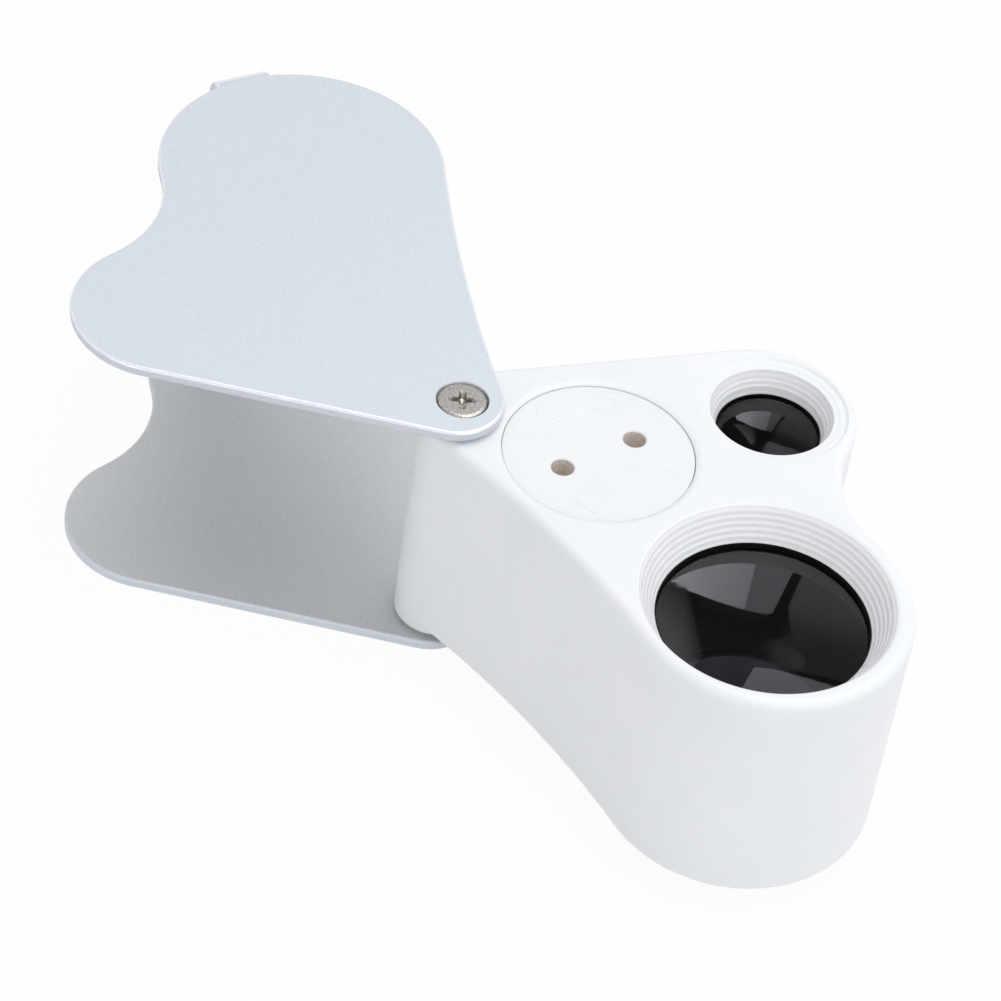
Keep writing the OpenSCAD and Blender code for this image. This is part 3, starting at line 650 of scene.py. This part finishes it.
# Screws
def cross_section(reach, width, fillet):
    """Outline of a cross: for each of four quarter turns a round arm tip, then the
    hollow arc of radius fillet that leads to the next arm."""
    tip = arc((reach - width / 2, 0), width / 2, -80, 80, 7)
    hollow = arc((width / 2 + fillet, width / 2 + fillet), fillet, 270, 180, 7)
    quarter = np.concatenate([tip, hollow])
    turns = np.radians([0, 90, 180, 270])
    c, s = np.cos(turns), np.sin(turns)
    spin = np.stack([np.stack([c, s], 1), np.stack([-s, c], 1)], 1)
    return np.einsum("nk,tkj->tnj", quarter, spin).reshape(-1, 2)


def cross_recess(reach, width, depth, face, downwards, turned, middle):
    """Cutter for a cross recess: cross sections that shrink as they go down, then a
    point. Each level is (depth, share of the reach, share of the width)."""
    way = 1 if downwards else -1
    levels = np.array([(-0.3, 1.1, 1.1), (0.0, 1.0, 1.0), (0.08, 0.93, 0.9), (depth, 0.66, 0.72),
                       (depth * 1.25, 0.3, 0.35)])
    base = np.stack([cross_section(reach * k, width * w, 0.3 * k) for _, k, w in levels])
    spin = Matrix.Rotation(radians(turned), 2)
    base = base @ np.array(spin).T + np.asarray(middle)
    grid = np.empty((len(levels), base.shape[1], 3))
    grid[..., :2] = base
    grid[..., 2] = (face - way * levels[:, 0])[:, None]
    return surface("recess", grid)


def countersunk(name, middle, face, downwards, head_r, head_h, thread_r, length, reach, width,
                turned):
    """Screw with a slightly domed countersunk head and a cross recess whose arms have a
    reach and a width."""
    way = 1 if downwards else -1
    rim_r = head_r - 0.14
    profile = rounded([(0, -0.01), (head_r * 0.84, -0.03), (rim_r, -0.17), (rim_r, -0.35),
                       (thread_r, -head_h), (thread_r, -length + 0.3), (thread_r - 0.3, -length),
                       (0, -length)], [0.6, 0.1, 0.05, 0.2, 0.1, 0.1], 6)
    profile[:, 1] = face + way * profile[:, 1]
    screw = turned_part(name, profile, middle, count=160)
    return cut(screw, cross_recess(reach, width, head_h * 0.5, face, downwards, turned, middle))


def pivot_screws():
    """One screw in each plate, both in one piece because they share a node."""
    shank = {"length": 7.2, "reach": 1.4, "width": 0.72}
    top = countersunk("pivot_screws_visual", (0, 0), CASE_H, True, **PIVOT_HEAD, **shank, turned=36)
    foot = countersunk("foot", (0, 0), 0, False, **PIVOT_HEAD, **shank, turned=12)
    join(top, foot)
    finished(top, NICKEL, "case", "pivot_screws", sharp=28)


def base_screws():
    """The three screws of the base cover, in one piece because they share a node."""
    made = [countersunk(name, p, BASE_SCREW_FACE, False, BASE_HEAD_R, 0.95, BASE_THREAD_R,
                        length=7.0, reach=0.95, width=0.38, turned=turned)
            for name, p, turned in zip(("base_screws_visual", "more", "more"), BOSSES, (8, 35, 61))]
    join(made[0], *made[1:])
    finished(made[0], STEEL, "loupe_body", "base_screws", sharp=28)


# Body
def funnel_profile(rim_r, band, eye_r, depth, shares, soft):
    """Profile of a ribbed funnel, from its mouth down to the lip under it.

    shares gives each rib's part of the whole fall. Rib k starts at radius
    start - k * run. Its steep face drops 0.62 of its fall over 0.42 of the run,
    then a sloping tread leads to the next rib. A band is a level ring of that
    width between the mouth and the ribs.
    """
    ribs = len(shares)
    start_r = rim_r - band
    start_z = -0.35 if band else 0.0
    run = (start_r - eye_r) / ribs
    fall = (depth + start_z) * np.asarray(shares) / np.sum(shares)
    k, top = np.arange(ribs), start_z - np.cumsum(fall) + fall
    heads = np.stack([start_r - k * run, top], 1)
    treads = np.stack([start_r - (k + 0.42) * run, top - 0.62 * fall], 1)
    steps = np.stack([heads, treads], 1).reshape(-1, 2)
    mouth_r = rim_r + 0.22
    mouth = [(0, 1), (mouth_r, 1), (mouth_r, 0.0)]
    if band:
        ring_z = start_z + 0.08
        mouth += [(rim_r, ring_z), (rim_r - 0.6, ring_z), (rim_r - 0.66, start_z)]
        mouth_soft = [0, 0.22, 0.06, 0.03, 0.03]
    else:
        mouth_soft = [0, 0.12]
        steps[0] += [0, -0.12]
    foot = [(eye_r, -depth), (eye_r, -depth - 1.6), (0, -depth - 1.6)]
    radii = mouth_soft + [soft, soft * 0.5] * ribs + [0.08, 0]
    return rounded(np.concatenate([mouth, steps, foot]), radii, 5)


def cap_wedges(radius, half_angle, direction, low, high):
    """Two opposite sectors of a disc about the cap's middle, each reaching half_angle to
    both sides of its direction."""
    made = []
    for to in (direction, direction + 180):
        rim = arc((0, 0), radius, to - half_angle, to + half_angle, 24)
        made.append(plate_prism("wedge", np.concatenate([[[0.0, 0.0]], rim]), low, high, CAP_AT))
    return made


def cap_seat():
    """Cutter for the cap's seat, from the top down: rounded lip, seat, neck, ring for the
    lugs, well for the cells and the hole under them."""
    lip_x, lip_r = 10.15, 1.133
    seat_r, neck_r, ring_r, well_r, hole_r = 9.42, 8.47, 9.4, 6.0, 3.2
    ledge, ring_top, ring_foot, well_foot, hole_foot = 27.55, 26.35, 24.75, 15.5, 13.5
    lip = arc((lip_x, BODY_TOP - lip_r), lip_r, 90, 128.8, 8)
    profile = np.concatenate([
        [(0, OVER_BODY), (lip_x, OVER_BODY)], lip,
        [(seat_r, ledge), (neck_r, ledge), (neck_r, ring_top), (ring_r, ring_top),
         (ring_r, ring_foot), (well_r, ring_foot), (well_r, well_foot), (hole_r, well_foot),
         (hole_r, hole_foot), (0, hole_foot)]])
    return turned_part("cap_seat", profile, CAP_AT, count=256)


def slot_cutter():
    """Upright slot beside the cells, at 200 degrees from the cap's middle."""
    piece = block("strip_slot", (5.0, -1.7, 13.5), (6.55, 1.7, 25.5), turned=200)
    piece.data.transform(Matrix.Translation((CAP_AT[0] * MM, CAP_AT[1] * MM, 0)))
    return piece


def body_shell():
    """Moulded shell: the form with its hinge barrel, hollowed to an even wall that keeps
    the wells, sockets and bosses, and then its openings."""
    body = form_solid("body_shell_visual", BODY_FORM,
                      rolled(BODY_FOOT, BODY_TOP, 0.9, 0.95, steps=12))
    barrel_foot, hinge_r, hinge_top_r = BODY_FOOT - 0.85, 4.3, 3.95
    hinge = rounded([(0, barrel_foot), (hinge_r, barrel_foot), (hinge_top_r, BODY_TOP),
                     (0, BODY_TOP)], [0.4, 0.55], 9)
    join(body, turned_part("hinge_barrel", hinge, count=160))
    room = form_solid("room", BODY_FORM, [(WALL, BODY_FOOT - 1), (WALL, BODY_TOP - TOP_WALL)])
    sockets = [rod("socket", barrel_r + 1.05, BODY_TOP - depth - 3.6, BODY_TOP - 0.85, middle)
               for middle, barrel_r, depth in FUNNELS]
    cut(room, rod("barrel_room", hinge_r, 0, OVER_BODY, top_radius=hinge_top_r),
        rod("ring", 10.6, 23.8, OVER_BODY, CAP_AT), rod("well", 7.2, 14.7, 26, CAP_AT), *sockets,
        *[rod("boss", 1.9, BASE_TOP + 0.05, OVER_BODY, p) for p in BOSSES])
    cut(body, room)
    cut(body, cap_seat())
    cut(body, *cap_wedges(9.4, 15, 90, 26.25, 27.65))
    cut(body, slot_cutter())
    ribs = (funnel_profile(12.15, 0, 10.25, FUNNELS[0][2], [1] * 6, 0.1),
            funnel_profile(7.35, 1.2, 5.22, FUNNELS[1][2], [27, 19, 21, 33], 0.08))
    for (middle, _, _), profile in zip(FUNNELS, ribs):
        profile[:, 1] += BODY_TOP
        cut(body, turned_part("funnel", profile, middle, count=256))
    for middle, barrel_r, depth in FUNNELS:
        top = BODY_TOP - depth - 0.6
        cut(body, rod("socket_bore", barrel_r + 0.05, top - 4, top, middle))
    wide = POST_R + 0.15
    bore = [(0, 0), (wide, 0), (wide, barrel_foot), (POST_R, barrel_foot + 0.15),
            (POST_R, BODY_TOP - 0.15), (wide, BODY_TOP), (wide, 31), (0, 31)]
    cut(body, turned_part("bore", bore))
    cut(body, block("window", (1.6, -3.2, 7.55), (5.6, 3.2, 13.55), turned=20))
    cut(body, *[rod("screw_hole", 0.95, 3, 11, p) for p in BOSSES])
    finished(body, PLASTIC, "loupe_body", "body_shell", sharp=30)
    at = face_values(body, "center")
    in_funnel = (distance(at, LARGE_AT) < 12.3) | (distance(at, SMALL_AT) < 6.3)
    # Faces in the funnels get the lighter moulding: painted light in the funnels' shade
    second_finish(body, FUNNEL_PAINTED_LIGHT,
                  in_funnel & (at[:, 2] > BODY_TOP - 3.35) & (at[:, 2] < BODY_TOP - 0.02))


def base_cover():
    """Cover of the body's foot with its lamp collars, windows, wells and screw seats."""
    cover = form_solid("base_cover_visual", BODY_FORM,
                       rolled(BODY_FOOT, BASE_TOP, 0.25, 0.1, inset=WALL + 0.1, steps=7))
    join(cover, *[rod("lamp_collar", 2.4, BASE_TOP - 0.3, BODY_FOOT + 4.75, p) for p in LAMPS])
    barrel_way = [(0, 1), (4.6, 1), (4.6, BODY_FOOT), (4.45, BODY_FOOT + 0.15), (4.45, 5), (0, 5)]
    cut(cover, turned_part("barrel_hole", barrel_way))
    for middle, r in ((LARGE_AT, 8.3), (SMALL_AT, 3.8)):
        window = rounded([(0, 1), (r + 1.6, 1), (r + 1.05, BODY_FOOT - 0.02),
                          (r, BODY_FOOT + 1.0), (r, 6), (0, 6)], [0, 0.3, 0.25, 0], 6)
        cut(cover, turned_part("window", window, middle))
    for middle in LAMPS:
        well = rounded([(0, 1), (3.9, 1), (3.3, BODY_FOOT), (1.6, BODY_FOOT + 1.8), (1.6, 9),
                        (0, 9)], [0, 0.2, 0.3, 0], 6)
        cut(cover, turned_part("lamp_well", well, middle, count=96))
    cut(cover, *[screw_seat(p, BASE_SCREW_FACE, False, BASE_HEAD_R, 0.98, BASE_THREAD_R)
                 for p in BOSSES])
    finished(cover, PLASTIC, "loupe_body", "base_cover")


# Battery cap
def scored_line(name, corners, half, depth, top):
    """Cutter for a closed scored line: the section (s, h) carried along the corners.

    A point is corner + s * m at height top + h, where m is the sum of the two sides'
    unit normals over 1 plus their dot product, so that the line keeps its width.
    """
    p = np.asarray(corners, float)
    side = np.roll(p, -1, axis=0) - p
    side /= np.linalg.norm(side, axis=1, keepdims=True)
    after = np.stack([side[:, 1], -side[:, 0]], axis=1)
    before = np.roll(after, 1, axis=0)
    mitre = (before + after) / (1 + (before * after).sum(1, keepdims=True))
    section = np.array([(-half * 1.3, 0.3), (-half, 0), (-half * 0.4, -depth),
                        (half * 0.4, -depth), (half, 0), (half * 1.3, 0.3)])
    grid = np.empty((len(p), len(section), 3))
    grid[..., :2] = p[:, None] + section[None, :, :1] * mitre[:, None]
    grid[..., 2] = top + section[None, :, 1]
    return surface(name, grid, ring=True)


def turn_arrow(tail, neck, tip, radius, width):
    """Outline of a curved arrow: a band of the given width about radius from the tail's
    angle to the neck's, then two barbs and the tip."""
    barb = 1.45
    outer = arc((0, 0), radius + width / 2, tail, neck, 22)
    inner = arc((0, 0), radius - width / 2, neck, tail, 22)
    head = np.stack([(radius + barb) * directions(neck), radius * directions(tip),
                     (radius - barb) * directions(neck)])
    return np.concatenate([outer, head, inner])


def battery_cap():
    """Round cap with two lugs, two key holes and two scored arrows."""
    foot, ledge, outer_r, neck_r = 25.3, BODY_TOP - 1.25, 9.37, 8.37
    profile = rounded([(0, CAP_TOP), (outer_r, CAP_TOP), (outer_r, ledge), (neck_r, ledge),
                       (neck_r, foot), (0, foot)], [0.1, 0.1, 0.05, 0.15], 7)
    resting = np.array(CAP_AT) - [0, 0.035]
    cap = turned_part("battery_cap_visual", profile, resting, count=256)
    join(cap, *cap_wedges(9.3, 12, 20, foot, foot + 1))
    hole_r, hole_foot = 1.12, CAP_TOP - 2.25
    holes = [np.array(CAP_AT) + way * 4.225 * directions(70.7) for way in (1, -1)]
    for hole in holes:
        profile = rounded([(0, OVER_BODY), (1.3, OVER_BODY), (1.3, CAP_TOP + 0.03),
                           (hole_r, CAP_TOP - 0.12), (hole_r, hole_foot), (0, hole_foot)],
                          [0, 0.08, 0.1, 0.25], 6)
        cut(cap, turned_part("key_hole", profile, hole, count=64))
    for arrow in (turn_arrow(115, 172, 189, 6.95, 1.7), turn_arrow(22, -56, -78, 7.1, 2.0)):
        cut(cap, scored_line("arrow", arrow + np.array(CAP_AT), 0.08, 0.08, CAP_TOP))
    finished(cap, PLASTIC, "battery_cap", "battery_cap")
    at = face_values(cap, "center")
    in_hole = (distance(at, holes[0]) < hole_r + 0.05) | (distance(at, holes[1]) < hole_r + 0.05)
    # The key holes below their mouths get painted shade with some grime
    second_finish(cap, HOLE_SHADE_AND_GRIME,
                  in_hole & (at[:, 2] < CAP_TOP - 0.12) & (at[:, 2] > hole_foot - 0.05))


# Optics
def crown(half, height):
    """Arc of a round crown from its middle to its edge: sphere radius
    (a * a + h * h) / 2h, points (R * sin t, R * cos t - R + h)."""
    sphere = (half ** 2 + height ** 2) / (2 * height)
    t = np.linspace(0, np.arcsin(half / sphere), 40)
    return np.stack([sphere * np.sin(t), sphere * np.cos(t) - sphere + height], axis=1)


def lens(node, glass, coat_and_shade, middle, radius, foot, edge, upper, lower):
    """Round lens: a flat land at its edge, with an upper and a lower crown.

    upper and lower are (half width, crown height, step between land and crown). The
    side turned out of the loupe is clear glass, and land and rim are blackened. On an
    eye lens the other side has a coat; on an object lens it has a near-black tint,
    painted shade that stands for the dark room under the loupe.
    """
    low = crown(*lower[:2]) * [1, -1] + [0, foot - lower[2]]
    high = (crown(*upper[:2]) + [0, foot + edge + upper[2]])[::-1]
    top, bevel = foot + edge, 0.15
    rim = [(lower[0] + 0.02, foot), (radius - bevel, foot), (radius, foot + bevel),
           (radius, top - bevel), (radius - bevel, top), (upper[0] + 0.02, top)]
    piece = turned_part(node + "_visual", np.concatenate([low, rim, high]), middle)
    finished(piece, glass, "loupe_body", node, sharp=12)
    up = face_values(piece, "normal")[:, 2]
    out = distance(face_values(piece, "center"), middle)
    # Eye lenses get the coat on their lower faces; object lenses get painted shade on their upper
    # faces
    second_finish(piece, coat_and_shade, up < -0.5 if coat_and_shade is COATED else up > 0.5)
    land = out > np.where(up > 0, upper[0], lower[0]) + 0.005
    second_finish(piece, BLACK, land | (abs(up) < 0.5))


def eye_ring(node, middle, outer, foot):
    """Thin black wall between a lens and its funnel, with a rolled top."""
    top, inner = foot + 0.65, outer - 0.09
    profile = rounded([(outer, foot), (outer, top), (inner, top), (inner, foot)], [0.02, 0.04], 6)
    piece = turned_part(node + "_visual", profile, middle, closed=True)
    finished(piece, BLACK, "loupe_body", node)


case_sheet()
pivot_screws()
body_shell()
base_cover()
base_screws()
battery_cap()
lens("large_eye_lens", GLASS, COATED, LARGE_AT, radius=11, foot=22.95, edge=1.95,
     upper=(10.1, 0.45, 0.2), lower=(10.2, 1.0, 0))
lens("large_object_lens", GLASS, PAINTED_SHADE_GLASS, LARGE_AT, radius=9, foot=4.1, edge=1.45,
     upper=(8.2, 1.2, 0), lower=(8.2, 0.8, 0))
lens("small_eye_lens", BLOOMED_GLASS, COATED, SMALL_AT, radius=6, foot=23.8, edge=1.55,
     upper=(5.07, 0.72, 0.45), lower=(5.2, 0.6, 0))
lens("small_object_lens", GLASS, PAINTED_SHADE_GLASS, SMALL_AT, radius=4.5, foot=4.1, edge=1.45,
     upper=(3.7, 0.7, 0), lower=(3.7, 0.5, 0))
eye_ring("large_eye_ring", LARGE_AT, 10.2, 24.95)
eye_ring("small_eye_ring", SMALL_AT, 5.17, 25.4)

# Pieces that keep their own solids
KEPT = {
    "pivot_post": STEEL, "washer_top": NYLON, "washer_bottom": NYLON, "cap_contact": BRASS,
    "battery_cell_top": CELL, "battery_cell_middle": CELL, "battery_cell_bottom": CELL,
    "battery_leaf": BRASS, "side_contact": BRASS, "circuit_board": BOARD, "lamp_large": RESIN,
    "lamp_small": RESIN, "switch_leaf": BRASS, "switch_contact": BRASS, "large_barrel": BLACK,
    "small_barrel": BLACK,
}
for name, material in KEPT.items():
    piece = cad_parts[name]
    piece.data.materials.clear()
    piece.data.materials.append(material)


# Studio
def stage_piece(name, points, material):
    """Flat sheet through its corners, in metres."""
    mesh = bpy.data.meshes.new(name)
    mesh.from_pydata([tuple(p) for p in points], [], [tuple(range(len(points)))])
    mesh.materials.append(material)
    sheet = bpy.data.objects.new(name, mesh)
    bpy.context.scene.collection.objects.link(sheet)
    return sheet


def glow_card(name, corners, nearer=0.98):
    """Sheet of a dark room or its windows, which only clear glass mirrors.

    Each corner is (u, v, strength), with u and v in millimetres on a plane square to
    the view that a level mirror at the lenses gives. A point is the lenses' place plus
    nearer * (350 * view + u * across + v * upwards).
    """
    view = np.array([-0.3766, 0.6113, 0.6960])
    across = np.array([-0.8514, -0.5245, 0.0])
    upwards = np.cross(view, across)
    corners = np.asarray(corners, float)
    reach = 350 * view + corners[:, :1] * across + corners[:, 1:2] * upwards
    place = np.array([36.3, 0, 26]) + nearer * reach
    sheet = stage_piece(name, place * MM, CARD)
    glow = sheet.data.color_attributes.new("glow", "FLOAT_COLOR", "POINT")
    daylight = np.array([0.92, 0.93, 1.0])
    colours = np.concatenate([corners[:, 2:] * daylight, np.ones((len(corners), 1))], axis=1)
    glow.data.foreach_set("color", colours.ravel())
    sheet.visible_camera = sheet.visible_diffuse = sheet.visible_shadow = False


def card_material():
    """Glow in each corner's own strength, clear to every ray but one from a sharp mirror."""
    material = bpy.data.materials.new("room_card")
    material.use_nodes = True
    tree = material.node_tree
    tree.nodes.clear()
    strength = tree.nodes.new("ShaderNodeAttribute")
    strength.attribute_name = "glow"
    glow = tree.nodes.new("ShaderNodeEmission")
    clear = tree.nodes.new("ShaderNodeBsdfTransparent")
    path = tree.nodes.new("ShaderNodeLightPath")
    mix = tree.nodes.new("ShaderNodeMixShader")
    out = tree.nodes.new("ShaderNodeOutputMaterial")
    tree.links.new(strength.outputs["Color"], glow.inputs["Color"])
    tree.links.new(path.outputs["Is Singular Ray"], mix.inputs[0])
    tree.links.new(clear.outputs[0], mix.inputs[1])
    tree.links.new(glow.outputs[0], mix.inputs[2])
    tree.links.new(mix.outputs[0], out.inputs[0])
    return material


def seen_directly(tree):
    """1 for camera, glossy and transmission rays, 0 for the rest."""
    path = tree.nodes.new("ShaderNodeLightPath")
    first, second = (tree.nodes.new("ShaderNodeMath") for _ in range(2))
    first.operation = second.operation = "MAXIMUM"
    tree.links.new(path.outputs["Is Camera Ray"], first.inputs[0])
    tree.links.new(path.outputs["Is Glossy Ray"], first.inputs[1])
    tree.links.new(first.outputs[0], second.inputs[0])
    tree.links.new(path.outputs["Is Transmission Ray"], second.inputs[1])
    return second.outputs[0]


def studio_world(level):
    """Soft fill of a strength for the object, and plain white where it is seen directly."""
    world = bpy.data.worlds.new("studio")
    bpy.context.scene.world = world
    world.use_nodes = True
    tree = world.node_tree
    tree.nodes.clear()
    fill, white = (tree.nodes.new("ShaderNodeBackground") for _ in range(2))
    fill.inputs["Color"].default_value = (0.98, 0.988, 1.0, 1)
    fill.inputs["Strength"].default_value = level
    white.inputs["Color"].default_value = (1, 1, 1, 1)
    mix = tree.nodes.new("ShaderNodeMixShader")
    out = tree.nodes.new("ShaderNodeOutputWorld")
    tree.links.new(seen_directly(tree), mix.inputs[0])
    tree.links.new(fill.outputs[0], mix.inputs[1])
    tree.links.new(white.outputs[0], mix.inputs[2])
    tree.links.new(mix.outputs[0], out.inputs[0])


def floor_material(shadow):
    """White paper: its own light hides all but a share of the shadow from the camera."""
    material = bpy.data.materials.new("floor_paper")
    material.use_nodes = True
    tree = material.node_tree
    tree.nodes.clear()
    paper = tree.nodes.new("ShaderNodeBsdfDiffuse")
    paper.inputs["Color"].default_value = (0.9, 0.9, 0.9, 1)
    glow = tree.nodes.new("ShaderNodeEmission")
    share = tree.nodes.new("ShaderNodeMath")
    share.operation = "MULTIPLY"
    share.inputs[1].default_value = 1 - shadow
    tree.links.new(seen_directly(tree), share.inputs[0])
    mix = tree.nodes.new("ShaderNodeMixShader")
    out = tree.nodes.new("ShaderNodeOutputMaterial")
    tree.links.new(share.outputs[0], mix.inputs[0])
    tree.links.new(paper.outputs[0], mix.inputs[1])
    tree.links.new(glow.outputs[0], mix.inputs[2])
    tree.links.new(mix.outputs[0], out.inputs[0])
    return material


def soft_light(name, azimuth, height, away, size, power):
    """Square lamp that looks at the object from an azimuth and a height, in degrees, and
    from a distance in metres."""
    target = np.array([0.02, 0.0, 0.015])
    a, e = radians(azimuth), radians(height)
    back = np.array([cos(a) * cos(e), sin(a) * cos(e), sin(e)])
    data = bpy.data.lights.new(name, "AREA")
    data.shape, data.size, data.energy = "SQUARE", size, power
    lamp = bpy.data.objects.new(name, data)
    bpy.context.scene.collection.objects.link(lamp)
    lamp.matrix_world = aimed(target + away * back, back)


def aimed(place, back):
    """Matrix of a lamp at a place whose own +Z points along the unit vector back."""
    right = np.cross((0, 0, 1), back)
    right /= np.linalg.norm(right)
    up = np.cross(back, right)
    m = np.eye(4)
    m[:3, :3] = np.stack([right, up, back], axis=1)
    m[:3, 3] = place
    return Matrix(m.tolist())


def photo_camera():
    """Camera of the photograph, worked out from the round openings: its axes, then its
    place in metres."""
    data = bpy.data.cameras.new("photo_camera")
    data.lens, data.sensor_width, data.clip_start, data.clip_end = 129.559, 36, 0.01, 20
    camera = bpy.data.objects.new("photo_camera", data)
    bpy.context.scene.collection.objects.link(camera)
    m = np.eye(4)
    m[:3, 0] = (0.79081718, 0.60346728, 0.10215398)
    m[:3, 1] = (-0.48248213, 0.51196425, 0.71070641)
    m[:3, 2] = (0.37658888, -0.61132631, 0.6960323)
    m[:3, 3] = (0.13827505, -0.21494861, 0.26541581)
    camera.matrix_world = Matrix(m.tolist())
    bpy.context.scene.camera = camera


studio_world(level=0.61)
# In metres; the floor lies a hair under the object
FLOOR_HALF, FLOOR_Z = 3, -2e-5
floor_corners = [(-FLOOR_HALF, -FLOOR_HALF, FLOOR_Z), (FLOOR_HALF, -FLOOR_HALF, FLOOR_Z),
                 (FLOOR_HALF, FLOOR_HALF, FLOOR_Z), (-FLOOR_HALF, FLOOR_HALF, FLOOR_Z)]
stage_piece("floor", floor_corners, floor_material(shadow=0.06))
soft_light("overhead", 60, 72, 0.6, 0.5, 1.45)
soft_light("right_side", -15, 35, 0.7, 0.45, 0.66)
soft_light("left_front", -95, 14, 0.7, 0.4, 0.32)
CARD = card_material()
glow_card("dark_room", [(420, -400, 0.1), (-420, -400, 0.1), (-420, 480, 0.1),
                        (420, 480, 0.1)], nearer=1.0)
glow_card("window_left", [(-15, 0, 2.2), (2, -5, 2.7), (25, -16, 3.9), (31, -23, 4.3),
                          (60, -55, 4.3), (60, -330, 4.3), (-50, -330, 2.3)])
glow_card("window_right", [(-32, -1, 1.1), (-27, 1, 1.1), (-15, 0, 1.1), (-50, -330, 1.35),
                           (-102, -330, 1.35)])
glow_card("wall_upper", [(-41, -11, 0.6), (-46, -39, 0.7), (-116, -330, 0.9),
                         (-330, -330, 0.9), (-330, -11, 0.6)])
glow_card("wall_lower", [(-34, 50, 0.25), (-32, 27, 0.25), (-45, 16, 0.3), (-41, -11, 0.6),
                         (-330, -11, 0.6), (-330, 48, 0.4)])
glow_card("ceiling", [(-24, 55, 1.5), (-34, 53, 1.5), (-76, 56, 1.45), (-160, 50, 1.3),
                      (-160, 200, 1.4), (0, 135, 1.4)])
glow_card("left_wall", [(20, -20, 0.15), (9, 50, 0.25), (24, 84, 1.6), (72, -33, 1.2)])
photo_camera()
bpy.context.scene.view_settings.view_transform = "Standard"
